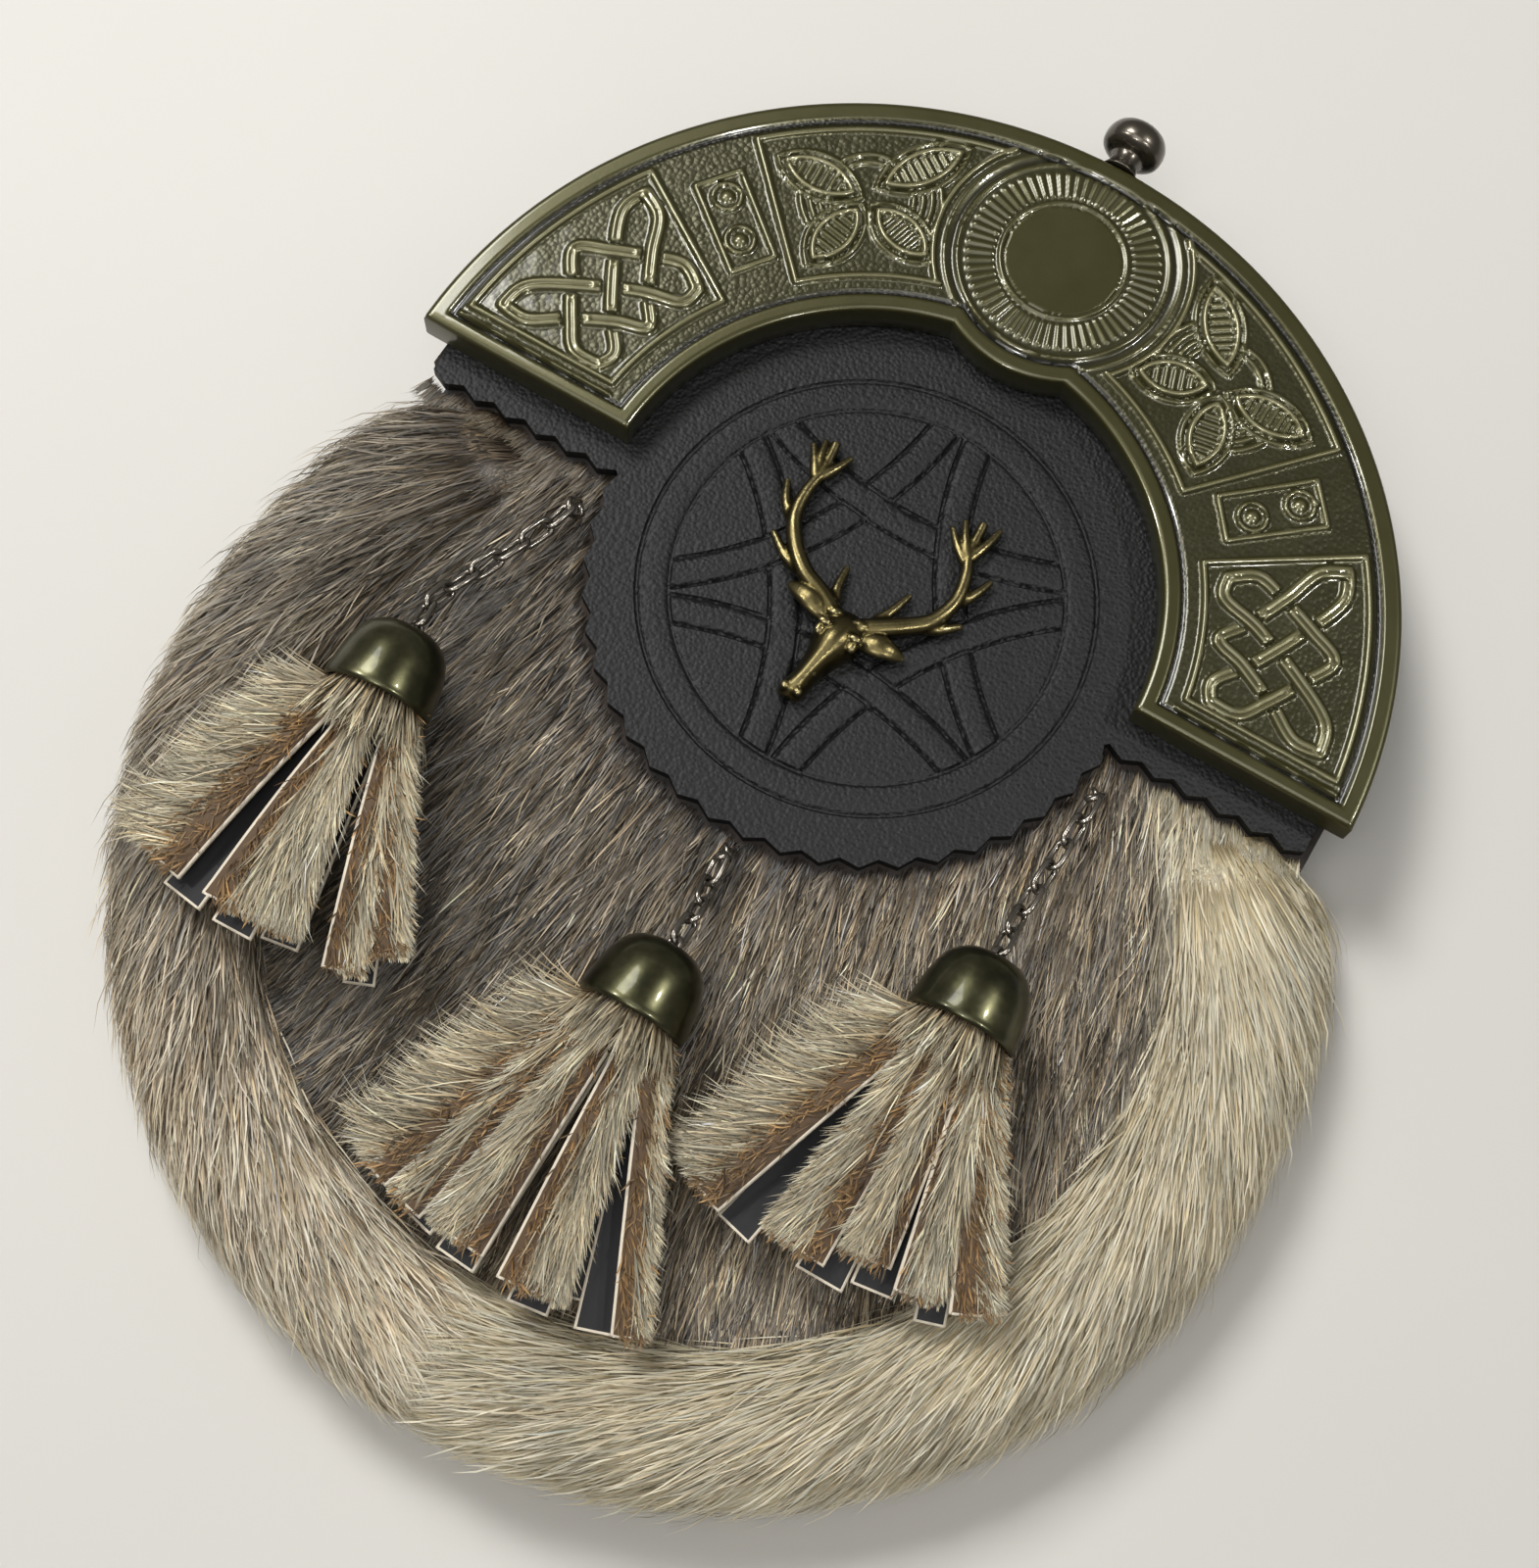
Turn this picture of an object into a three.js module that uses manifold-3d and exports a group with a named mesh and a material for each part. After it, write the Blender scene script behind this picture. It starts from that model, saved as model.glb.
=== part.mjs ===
// A fur-faced sporran pouch that lies on its back: a hollow bag of a flat leather back, a hide front and two
// rolled hide gussets, a leather targe and a cast half-moon cantle over the mouth, a stag's head badge, and
// three tassels of cut fur strips that hang in metal cups from short chains.
import * as THREE from "three";
import { mergeVertices } from "three/addons/utils/BufferGeometryUtils.js";
import Module from "manifold-3d";

const wasm = await Module();
wasm.setup();

// Driving dimensions in millimetres: x to the right, y towards the cantle, z up out of the front.
// The origin is the middle of the back, on the surface that the pouch rests on.
const GAP = 0.3; // clearance between pieces that touch
const LEATHER = 2.4; // wall of the back and the targe
const HIDE = 2.0; // wall of the front and the gussets
const NAP = 2.0; // dense underfur, measured from the hide

// The bag is round, and above mouthDeg its panels follow the cantle's arc instead.
const BAG = { x: 3.5, y: -25, frontR: 75.3, backR: 92, capR: 85, mouthDeg: 30, frontZ: 14 };
// The gusset's section is part of an oval, from the lip at the front panel to the foot on the back.
const ROLL = { r: 84, z: 10.7, reach: 10, rise: 9.3, lipDeg: 146, footDeg: -60 };
const BELLY = { x: 3, y: -60, r: 40, rise: 1.2 }; // gentle swell of the front below the targe

const TARGE = { capR: 83.5, lobeR: 47.5, stripDrop: 4.2, stripTeeth: 6, lobeTeeth: 22, tooth: 1.4 };

const CANTLE = {
  y: 30,
  outerR: 88,
  innerR: 48,
  endRise: 1.5,
  height: 7,
  plate: 3.4,
  skirt: 2,
  rim: 2.8,
  field: 0.9,
};
const BOSS = {
  y: 97,
  lobeR: 23,
  plainR: 10.5,
  ringR: 11.7,
  ribOuterR: 17.4,
  ribInnerR: 12.6,
  ribs: 32,
  beadR: 19.6,
};
const RELIEF = 0.8; // height of the raised work above the sunk field
const STUD = { z: 22.6, footR: 3.1, neckR: 2.3, neckLength: 2.4, headR: 5.6, headHalf: 4.4 };

const LINK = { wire: 1, pitch: 4.95, halfWidth: 1.45, bite: 0.14, sides: 5, steps: 8 };
const HOLE_R = 2.7; // the holes that the chains pass through
const PARTING_R = 3.6; // the hair parts this far round each chain
const PIN = { r: 0.8, length: 9 };
const CUP = { z: 29.8, depth: 13, headR: 7, headFrom: 6.2, holeR: 2.7, sides: 10 };
const STRIP = { thick: 1.5, rootWidth: 4.6, tipWidth: 9.4, root: 11.5, length: 42, spread: 4.4 };

const FRONT_TOP = BAG.frontZ + HIDE;
const TARGE_Z = FRONT_TOP + GAP;
const CANTLE_Z = TARGE_Z + LEATHER + GAP;
const CANTLE_TOP = CANTLE_Z + CANTLE.height;

const rad = THREE.MathUtils.degToRad;
const V2 = (x, y) => new THREE.Vector2(x, y);
const V3 = (x, y, z) => new THREE.Vector3(x, y, z);
const range = (from, to, steps) =>
  Array.from({ length: steps + 1 }, (_, i) => from + ((to - from) * i) / steps);

// Solids
function solidOf(geometry) {
  const bare = new THREE.BufferGeometry().setAttribute("position", geometry.getAttribute("position"));
  if (geometry.index) bare.setIndex(geometry.index);
  const merged = mergeVertices(bare, 1e-4);
  const triVerts = [];
  const index = merged.index.array;
  for (let i = 0; i < index.length; i += 3) {
    const [a, b, c] = [index[i], index[i + 1], index[i + 2]];
    if (a !== b && b !== c && c !== a) triVerts.push(a, b, c);
  }
  const vertProperties = new Float32Array(merged.attributes.position.array);
  const build = (tris) => {
    const mesh = new wasm.Mesh({ numProp: 3, vertProperties, triVerts: new Uint32Array(tris) });
    return new wasm.Manifold(mesh);
  };
  const solid = build(triVerts);
  return solid.volume() > 0 ? solid : build(triVerts.toReversed());
}

function geometryOf(solid) {
  const { vertProperties, triVerts } = solid.getMesh();
  const geometry = new THREE.BufferGeometry();
  geometry.setAttribute("position", new THREE.BufferAttribute(vertProperties, 3));
  geometry.setIndex(new THREE.BufferAttribute(triVerts, 1));
  return geometry;
}

const join = (solids) => solids.reduce((whole, solid) => whole.add(solid));

function extruded(shape, z, height, curveSegments = 12) {
  const geometry = new THREE.ExtrudeGeometry(shape, { depth: height, bevelEnabled: false, curveSegments });
  return solidOf(geometry.translate(0, 0, z));
}

// A disc or ring about an upright axis, from a closed half section of (radius, height) points.
const turned = (section, sides) => solidOf(new THREE.LatheGeometry(section, sides).rotateX(Math.PI / 2));

// A closed skin through rings of points. A ring of one point closes to a tip, and other ends get a flat cap,
// unless the skin runs round in a loop.
function skinned(rings, looped = false) {
  const points = rings.flat();
  const starts = rings.map((_, i) => rings.slice(0, i).reduce((n, ring) => n + ring.length, 0));
  const faces = [];
  for (let i = 0; i + (looped ? 0 : 1) < rings.length; i++) {
    const j = (i + 1) % rings.length;
    const [here, next] = [rings[i].length, rings[j].length];
    for (let k = 0; k < Math.max(here, next); k++) {
      const a = starts[i] + (k % here);
      const b = starts[i] + ((k + 1) % here);
      const c = starts[j] + (k % next);
      const d = starts[j] + ((k + 1) % next);
      if (here > 1) faces.push([a, b, c]);
      if (next > 1) faces.push([b, d, c]);
    }
  }
  const cap = (ring, start, flip) => {
    if (ring.length < 3) return;
    const across = ring[1].clone().sub(ring[0]).normalize();
    const normal = V3(0, 0, 0);
    ring.forEach((p, k) => normal.add(p.clone().cross(ring[(k + 1) % ring.length])));
    const upward = normal.normalize().cross(across);
    const flat = ring.map((p) => V2(p.dot(across), p.dot(upward)));
    for (const [a, b, c] of THREE.ShapeUtils.triangulateShape(flat, [])) {
      faces.push(flip ? [start + c, start + b, start + a] : [start + a, start + b, start + c]);
    }
  };
  if (!looped) {
    cap(rings[0], starts[0], true);
    cap(rings.at(-1), starts.at(-1), false);
  }
  const geometry = new THREE.BufferGeometry().setFromPoints(points);
  geometry.setIndex(faces.flat());
  return solidOf(geometry);
}

// A round bar along points, with a radius at each. Bars of radius 0 at the end close to a tip.
function bar(points, radii, sides) {
  let side = V3(0, 0, 1);
  const rings = points.map((p, i) => {
    const next = points[Math.min(i + 1, points.length - 1)];
    const along = next.clone().sub(points[Math.max(i - 1, 0)]).normalize();
    if (Math.abs(along.dot(side)) > 0.95) side = V3(1, 0, 0);
    const first = side.clone().sub(along.clone().multiplyScalar(along.dot(side))).normalize();
    const second = along.clone().cross(first);
    if (!radii[i]) return [p];
    return range(0, 2 * Math.PI, sides).slice(0, sides).map((angle) => {
      const [along1, along2] = [radii[i] * Math.cos(angle), radii[i] * Math.sin(angle)];
      return p.clone().addScaledVector(first, along1).addScaledVector(second, along2);
    });
  });
  return skinned(rings);
}

// A low ridge with a sharp crest along a line drawn on a flat face at height z.
function ridge(line, z, halfWidth, height) {
  return skinned(
    line.map((p, i) => {
      const next = line[Math.min(i + 1, line.length - 1)];
      const along = next.clone().sub(line[Math.max(i - 1, 0)]).normalize();
      const across = V2(-along.y, along.x).multiplyScalar(halfWidth);
      return [
        V3(p.x - across.x, p.y - across.y, z - 0.4),
        V3(p.x + across.x, p.y + across.y, z - 0.4),
        V3(p.x, p.y, z + height),
      ];
    }),
  );
}

const onBag = (deg, r, z) => V3(BAG.x + r * Math.cos(rad(deg)), BAG.y + r * Math.sin(rad(deg)), z);
const onCantle = (deg, r) => V2(r * Math.cos(rad(deg)), CANTLE.y + r * Math.sin(rad(deg)));

// Materials, from the photograph's colours
const finish = (color, roughness, metalness) =>
  new THREE.MeshStandardMaterial({ color, roughness, metalness });
const BLACK_LEATHER = finish(0x26272a, 0.7, 0);
const RAW_HIDE = finish(0xb9a98c, 0.85, 0);
const GREY_FUR = finish(0x7b6e5c, 0.75, 0);
const CREAM_FUR = finish(0xc4bd9f, 0.75, 0);
const ANTIQUE_METAL = finish(0x56523a, 0.3, 1);
const BADGE_METAL = finish(0x8a7c4a, 0.25, 1);
const STRIP_FUR = finish(0x968a70, 0.8, 0);

const sporran = new THREE.Group();
function place(name, solid, material) {
  const mesh = new THREE.Mesh(geometryOf(solid), material.clone());
  mesh.name = name;
  sporran.add(mesh);
}

// Bag: back and front panels
// A panel's edge, as a distance from the middle of the bag. Above the mouth's corners it follows the cantle.
const MOUTH_STEP = 1.2; // degrees over which a panel steps out to the cantle, past the gusset's end
function panelReach(deg, bagR) {
  const insideMouth = Math.abs(deg - 90) < 90 - BAG.mouthDeg - MOUTH_STEP / 2;
  if (!insideMouth) return bagR;
  const [x, y] = [BAG.x, BAG.y - CANTLE.y];
  const half = x * Math.cos(rad(deg)) + y * Math.sin(rad(deg));
  return -half + Math.sqrt(half * half + BAG.capR * BAG.capR - x * x - y * y);
}
const PANEL_ANGLES = [
  ...range(BAG.mouthDeg + MOUTH_STEP, 180 - BAG.mouthDeg - MOUTH_STEP, 26),
  ...range(180 - BAG.mouthDeg, 360 + BAG.mouthDeg, 26),
];

function belly(x, y) {
  const share = Math.hypot(x - BELLY.x, y - BELLY.y) / BELLY.r;
  return share < 1 ? BELLY.rise * Math.cos((share * Math.PI) / 2) ** 2 : 0;
}

// A sheet over the bag between two heights, with rings of points so that it can swell with the belly.
function bagSheet(reach, angles, z, thick, shares) {
  const layer = (height) =>
    shares.map((share) =>
      share === 0
        ? [V3(BAG.x, BAG.y, height)]
        : angles.map((deg) => {
            const p = onBag(deg, reach(deg) * share, height);
            return p.setZ(height + belly(p.x, p.y));
          }),
    );
  return skinned([...layer(z), ...layer(z + thick).reverse()]);
}

const TASSELS = [
  { side: "left", hole: [-49.5, 18], apex: [-58.4, -18.2], lean: 5, tipZ: 26.6 },
  { side: "centre", hole: [2, -21.2], apex: [3.7, -41.7], lean: 0, tipZ: 25 },
  { side: "right", hole: [49.5, 18], apex: [48.2, -17.7], lean: 1, tipZ: 26 },
];
const holeCutters = (r) =>
  TASSELS.map(({ hole: [x, y] }) => {
    const section = [V2(0, BAG.frontZ - 5), V2(r, BAG.frontZ - 5), V2(r, 30), V2(0, 30)];
    return turned(section, 8).translate([x, y, 0]);
  });

const backOutline = PANEL_ANGLES.map((deg) => {
  const { x, y } = onBag(deg, panelReach(deg, BAG.backR), 0);
  return V2(x, y);
});
place("back_panel", extruded(new THREE.Shape(backOutline), 0, LEATHER), BLACK_LEATHER);

const frontReach = (deg) => panelReach(deg > 180 ? deg - 360 : deg, BAG.frontR);
const frontHide = bagSheet(frontReach, PANEL_ANGLES, BAG.frontZ, HIDE, [0, 0.6, 1]);
const frontPanel = holeCutters(HOLE_R).reduce((panel, cutter) => panel.subtract(cutter), frontHide);
place("front_panel", frontPanel, RAW_HIDE);

// Gussets: two rolled borders that meet at the bottom seam
const SEAM_DEG = -90; // the bottom of the bag
const SEAM_HALF = 0.12; // degrees, half of the clearance at the seam
const GUSSET_END = 0.4; // degrees, short of the corner at the mouth
const BORDER_STEPS = 13; // facets along each border

const rollPoint = (deg, sectionDeg, grow) =>
  onBag(
    deg,
    ROLL.r + (ROLL.reach + grow) * Math.cos(rad(sectionDeg)),
    ROLL.z + (ROLL.rise + grow) * Math.sin(rad(sectionDeg)),
  );

function rolledBand(degrees, lipDeg, footDeg, inner, outer, sectionSteps) {
  const sections = range(lipDeg, footDeg, sectionSteps);
  return skinned(
    degrees.map((deg) => [
      ...sections.map((section) => rollPoint(deg, section, outer)),
      ...sections.toReversed().map((section) => rollPoint(deg, section, inner)),
    ]),
  );
}
const BORDERS = [
  { side: "left", from: SEAM_DEG - SEAM_HALF, to: -180 - BAG.mouthDeg + GUSSET_END, fur: GREY_FUR },
  { side: "right", from: BAG.mouthDeg - GUSSET_END, to: SEAM_DEG + SEAM_HALF, fur: CREAM_FUR },
];
for (const { side, from, to } of BORDERS) {
  const band = rolledBand(range(from, to, BORDER_STEPS), ROLL.lipDeg, ROLL.footDeg, -HIDE, 0, 6);
  place("gusset_" + side, band, RAW_HIDE);
}

// Targe: a half disc behind the cantle, a pinked strip under each of its ends and a round lobe
function pinkedRun(pointAt, outwardAt, teeth, tooth) {
  return range(0, 1, 2 * teeth).map((share, i) =>
    pointAt(share).addScaledVector(outwardAt(share), (i % 2 ? 0.5 : -0.5) * tooth),
  );
}

function targeOutline(grow, tooth) {
  const capR = TARGE.capR + grow;
  const stripY = CANTLE.y - TARGE.stripDrop - grow;
  const lobeR = TARGE.lobeR + grow;
  const lobeDeg = THREE.MathUtils.radToDeg(Math.asin((stripY - CANTLE.y) / lobeR));
  const lobeX = lobeR * Math.cos(rad(lobeDeg));
  const down = () => V2(0, -1);
  const lobeAngle = (share) => rad(lobeDeg + (-180 - 2 * lobeDeg) * share);
  const outward = (share) => V2(Math.cos(lobeAngle(share)), Math.sin(lobeAngle(share)));
  const onLobe = (share) => outward(share).multiplyScalar(lobeR).add(V2(0, CANTLE.y));
  return new THREE.Shape([
    ...range(180, 0, 30).map((deg) => onCantle(deg, capR)),
    ...pinkedRun((share) => V2(capR + (lobeX - capR) * share, stripY), down, TARGE.stripTeeth, tooth),
    ...pinkedRun(onLobe, outward, TARGE.lobeTeeth, tooth),
    ...pinkedRun((share) => V2(-lobeX + (lobeX - capR) * share, stripY), down, TARGE.stripTeeth, tooth),
  ]);
}
place("targe", extruded(targeOutline(0, TARGE.tooth), TARGE_Z, LEATHER), BLACK_LEATHER);

// Fur: dense underfur with locks that lie down the bag and out over its edge
function lock(root, tip, out, width, thick) {
  const across = tip.clone().sub(root).cross(out).normalize();
  const middle = root.clone().lerp(tip, 0.45).addScaledVector(out, thick * 0.3);
  return skinned([
    [root.clone().addScaledVector(out, -thick * 0.4)],
    [
      middle.clone().addScaledVector(across, width / 2),
      middle.clone().addScaledVector(out, thick / 2),
      middle.clone().addScaledVector(across, -width / 2),
      middle.clone().addScaledVector(out, -thick / 2),
    ],
    [tip.clone().addScaledVector(out, thick * 0.4)],
  ]);
}
// Hair falls towards the bottom of the bag and fans out a little to both sides.
const hairDirection = (x) => V3(0.33 * Math.tanh(x / 45), -1, 0).normalize();

const FRONT_FUR = { r: 72.4, rows: 15, rowStep: 8, columnStep: 13, length: 18, width: 9.5, thick: 3.2 };
const FUR_ANGLES = range(0, 360, 36).slice(0, 36);
// Under each tassel the hair is pressed flat, so no lock stands there.
function underTassel(x, y) {
  return TASSELS.some(({ hole, apex }) => {
    const beside = Math.abs(x - apex[0]);
    const below = apex[1] - y;
    const besideChain = Math.abs(x - (hole[0] + apex[0]) / 2) < 10 && y < hole[1] + 12 && y > apex[1];
    const beneath = below > -14 && below < STRIP.length + 18;
    return besideChain || (beneath && beside < 15 + 0.3 * Math.max(below, 0));
  });
}

function frontFur() {
  const z = FRONT_TOP + GAP;
  const underfur = bagSheet(() => FRONT_FUR.r, FUR_ANGLES, z, NAP, [0, 0.55, 1]);
  const locks = [];
  for (let row = 0; row < FRONT_FUR.rows; row++) {
    for (let column = -8; column <= 8; column++) {
      const x = BAG.x + (column + (row % 2) / 2) * FRONT_FUR.columnStep;
      const y = CANTLE.y - TARGE.stripDrop - 4 - row * FRONT_FUR.rowStep;
      const root = V3(x, y, z + NAP + belly(x, y));
      const tip = root.clone().addScaledVector(hairDirection(x), FRONT_FUR.length);
      const fits = Math.hypot(tip.x - BAG.x, tip.y - BAG.y) < FRONT_FUR.r - 1.5 && Math.abs(x - BAG.x) < 66;
      const pressed = underTassel(x, y) || underTassel(tip.x, tip.y);
      const underTarge = Math.hypot(x, y - CANTLE.y) < TARGE.lobeR + 4;
      if (!fits || pressed || underTarge) continue;
      locks.push(lock(root, tip, V3(0, 0, 1), FRONT_FUR.width, FRONT_FUR.thick));
    }
  }
  const targeCutter = extruded(targeOutline(TARGE.tooth / 2 + 0.5, 0), z - 2, 20);
  const cutters = [targeCutter, ...holeCutters(PARTING_R)];
  return cutters.reduce((fur, cutter) => fur.subtract(cutter), join([underfur, ...locks]));
}
place("front_fur", frontFur(), GREY_FUR);

const BORDER_FUR = { lipDeg: 137, footDeg: -42, length: 21, width: 13, thick: 4, stepDeg: 17 };
const LOCK_ROWS = [
  { sectionDeg: 92, shift: 0, outward: 0.15 },
  { sectionDeg: 48, shift: 0.5, outward: 0.5 },
  { sectionDeg: 8, shift: 0, outward: 0.9 },
];
const FLOOR_CLEAR = 1.2; // no hair reaches below this height
const FUR_GAP = 0.9; // the round hide's facets and the fur's own need more room than flat faces

function borderFur(from, to) {
  const outer = FUR_GAP + NAP;
  const { lipDeg, footDeg } = BORDER_FUR;
  const underfur = rolledBand(range(from, to, BORDER_STEPS), lipDeg, footDeg, FUR_GAP, outer, 5);
  const locks = [];
  const count = Math.floor(Math.abs(to - from) / BORDER_FUR.stepDeg) - 1;
  for (const { sectionDeg, shift, outward } of LOCK_ROWS) {
    for (let i = 0; i <= count; i++) {
      const deg = from + (Math.sign(to - from) * (i + 0.6 + shift / 2) * Math.abs(to - from)) / (count + 1.2);
      const root = rollPoint(deg, sectionDeg, outer);
      const out = root.clone().sub(rollPoint(deg, sectionDeg, 0)).normalize();
      const fall = hairDirection(root.x).addScaledVector(onBag(deg, 1, 0).sub(onBag(deg, 0, 0)), outward);
      const along = fall.addScaledVector(out, -fall.dot(out)).normalize();
      const tip = root.clone().addScaledVector(along, BORDER_FUR.length);
      tip.z = THREE.MathUtils.clamp(tip.z, FLOOR_CLEAR + 1, root.z);
      const pressed = underTassel(root.x, root.y) || underTassel(tip.x, tip.y);
      if (pressed && sectionDeg > 40) continue;
      locks.push(lock(root, tip, out, BORDER_FUR.width, BORDER_FUR.thick));
    }
  }
  return join([underfur, ...locks]);
}
for (const { side, from, to, fur } of BORDERS) {
  place("border_fur_" + side, borderFur(from, to), fur);
}

// Cantle: a cast half moon with a skirt round its edge, a sunk field and raised work
function cantleShape(inset) {
  const [outerR, innerR, lobeR] = [CANTLE.outerR - inset, CANTLE.innerR + inset, BOSS.lobeR - inset];
  const endY = CANTLE.endRise + inset;
  const lobeY = BOSS.y - CANTLE.y;
  const cuspY = (innerR ** 2 + lobeY ** 2 - lobeR ** 2) / (2 * lobeY);
  const outerEnd = Math.asin(endY / outerR);
  const innerEnd = Math.asin(endY / innerR);
  const cusp = Math.asin(cuspY / innerR);
  const lobeEnd = Math.atan2(cuspY - lobeY, innerR * Math.cos(cusp));
  const arc = (y, r, from, to, steps) =>
    range(from, to, steps).map((a) => V2(r * Math.cos(a), y + r * Math.sin(a)));
  return new THREE.Shape([
    ...arc(CANTLE.y, outerR, outerEnd, Math.PI - outerEnd, 26),
    ...arc(CANTLE.y, innerR, Math.PI - innerEnd, Math.PI - cusp, 7),
    ...arc(BOSS.y, lobeR, -Math.PI - lobeEnd, lobeEnd, 6).slice(1, -1),
    ...arc(CANTLE.y, innerR, cusp, innerEnd, 7),
  ]);
}
const FIELD_Z = CANTLE_TOP - CANTLE.field;
const mirrored = (line, sign) => line.map((p) => V2(sign * p.x, p.y));
const raised = (line, halfWidth = 0.6) => ridge(line, FIELD_Z, halfWidth, RELIEF);

// Panels of the right half, in degrees and distances from the middle of the cantle's arcs
const END_PANEL = { from: 4.5, to: 32.3, inner: 55, outer: 83 };
const PAIR_PANEL = { from: 35.6, to: 43.8, inner: 57, outer: 77.5 };
const LEAF_PANEL = { from: 46.3, innerTo: 72.9, outerTo: 77.4, inner: 55, outer: 82.7 };
const panelFrame = ({ from, to, inner, outer }) => [
  [onCantle(from, inner), onCantle(from, outer)],
  range(from, to, 2).map((deg) => onCantle(deg, outer)),
  [onCantle(to, outer), onCantle(to, inner)],
  range(to, from, 2).map((deg) => onCantle(deg, inner)),
];
const leafFrame = ({ from, innerTo, outerTo, inner, outer }) => [
  [onCantle(from, inner), onCantle(from, outer)],
  range(from, outerTo, 3).map((deg) => onCantle(deg, outer)),
  range(innerTo, from, 3).map((deg) => onCantle(deg, inner)),
];

// The end knot is one closed strand that swings three times across the panel on its way along it and back.
const END_KNOT = { midDeg: 18.4, halfDeg: 11.4, midR: 69, halfR: 9.5, swings: 3, arcs: 4, arcSteps: 6 };
function endKnot() {
  const at = (t) =>
    onCantle(
      END_KNOT.midDeg + END_KNOT.halfDeg * Math.cos(t),
      END_KNOT.midR + END_KNOT.halfR * Math.sin(END_KNOT.swings * t),
    );
  const turn = (2 * Math.PI) / END_KNOT.arcs;
  return range(0, END_KNOT.arcs - 1, END_KNOT.arcs - 1).map((i) =>
    range(i * turn, (i + 1) * turn + 0.02, END_KNOT.arcSteps).map(at),
  );
}

// Four pointed leaves meet in the middle of the leaf panel.
const LEAF_MIDDLE = V2(35.5, 61.5 + CANTLE.y);
const LEAF_TIPS = [V2(25, 76), V2(51, 59), V2(38, 44.5), V2(20.5, 55)].map((p) => p.setY(p.y + CANTLE.y));
const LEAF_BULGE = 0.27;
const LEAF_START = 0.12; // the leaves stop short of the middle
function leafKnot() {
  const bowed = (to, bulge) => {
    const across = V2(LEAF_MIDDLE.y - to.y, to.x - LEAF_MIDDLE.x).multiplyScalar(bulge);
    return range(LEAF_START, 1, 2).map((share) =>
      LEAF_MIDDLE.clone().lerp(to, share).addScaledVector(across, Math.sin(Math.PI * share)),
    );
  };
  return LEAF_TIPS.flatMap((tip) => [bowed(tip, LEAF_BULGE), bowed(tip, -LEAF_BULGE)]);
}

const RINGED_BOSS = [V2(0, -0.4), V2(2.9, -0.4), V2(2.5, 0.8), V2(1.7, 0.2), V2(0, 0.9)];
const BOSS_PAIR = [65, 73.6]; // distances of the two small bosses along their panel
const smallBosses = (sign) =>
  BOSS_PAIR.map((r) => {
    const p = onCantle((PAIR_PANEL.from + PAIR_PANEL.to) / 2, r);
    return turned(RINGED_BOSS, 8).translate([sign * p.x, p.y, FIELD_Z]);
  });

function centreBoss() {
  const { plainR, ringR, ribInnerR, ribOuterR, ribs, beadR } = BOSS;
  const ring = [V2(ringR, -0.4), V2(ringR, 0.9), V2(plainR, 0.9), V2(plainR - 0.4, 0.6)];
  const plain = [V2(0, -0.4), ...ring, V2(0, 0.6)];
  const bead = [V2(beadR - 0.8, -0.4), V2(beadR + 0.8, -0.4), V2(beadR, RELIEF), V2(beadR - 0.8, -0.4)];
  const ribStar = range(0, 2 * ribs - 1, 2 * ribs - 1).map((i) => {
    const r = i % 2 ? ribInnerR : ribOuterR;
    return V2(r * Math.cos((Math.PI * i) / ribs), r * Math.sin((Math.PI * i) / ribs));
  });
  const solids = [turned(plain, 18), turned(bead, 18), extruded(new THREE.Shape(ribStar), -0.4, 0.9)];
  return solids.map((solid) => solid.translate([0, BOSS.y, FIELD_Z]));
}

function cantle() {
  const body = extruded(cantleShape(0), CANTLE_Z, CANTLE.height)
    .subtract(extruded(cantleShape(CANTLE.skirt), CANTLE_Z - 1, CANTLE.height - CANTLE.plate + 1))
    .subtract(extruded(cantleShape(CANTLE.rim), FIELD_Z, 2));
  const frames = [...panelFrame(END_PANEL), ...panelFrame(PAIR_PANEL), ...leafFrame(LEAF_PANEL)];
  const lines = [...frames, ...endKnot(), ...leafKnot()];
  const halves = [1, -1].flatMap((sign) => [
    ...lines.map((line) => raised(mirrored(line, sign))),
    ...smallBosses(sign),
  ]);
  return join([body, ...halves, ...centreBoss()]);
}
place("cantle", cantle(), ANTIQUE_METAL);

// Closing stud: a mushroom-headed stud on the cantle's skirt
function stud() {
  const { footR, neckR, neckLength, headR, headHalf } = STUD;
  const start = Math.asin(neckR / headR);
  const head = range(Math.PI - start, 0, 6).map((a) =>
    V2(headR * Math.sin(a), neckLength + headHalf + headHalf * Math.cos(a)),
  );
  const foot = [V2(0, 0), V2(footR, 0), V2(footR, 0.8), V2(neckR, 0.9)];
  const section = [...foot, ...head.slice(0, -1), V2(0, head.at(-1).y)];
  return solidOf(new THREE.LatheGeometry(section, 12).translate(0, CANTLE.y + CANTLE.outerR + GAP, STUD.z));
}
place("closing_stud", stud(), ANTIQUE_METAL);

// Stag's head badge, cast in one piece and fixed to the targe
const BADGE_Z = TARGE_Z + LEATHER + GAP;
const HEAD_SECTIONS = [
  { y: -6.5, x: 0, half: 2.6, rise: 2.4 },
  { y: -9, x: 0, half: 4.2, rise: 4.4 },
  { y: -12.5, x: -0.3, half: 4, rise: 5.2 },
  { y: -16.5, x: -1, half: 2.9, rise: 4.6 },
  { y: -20.5, x: -1.9, half: 2.3, rise: 3.6 },
  { y: -23.4, x: -2.4, half: 2.2, rise: 2.8 },
  { y: -24.4, x: -2.5, half: 1.4, rise: 1.6 },
];
const EARS = [
  { root: [-3.5, -9.5], tip: [-12, -7] },
  { root: [3, -10.2], tip: [11, -9] },
];
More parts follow.
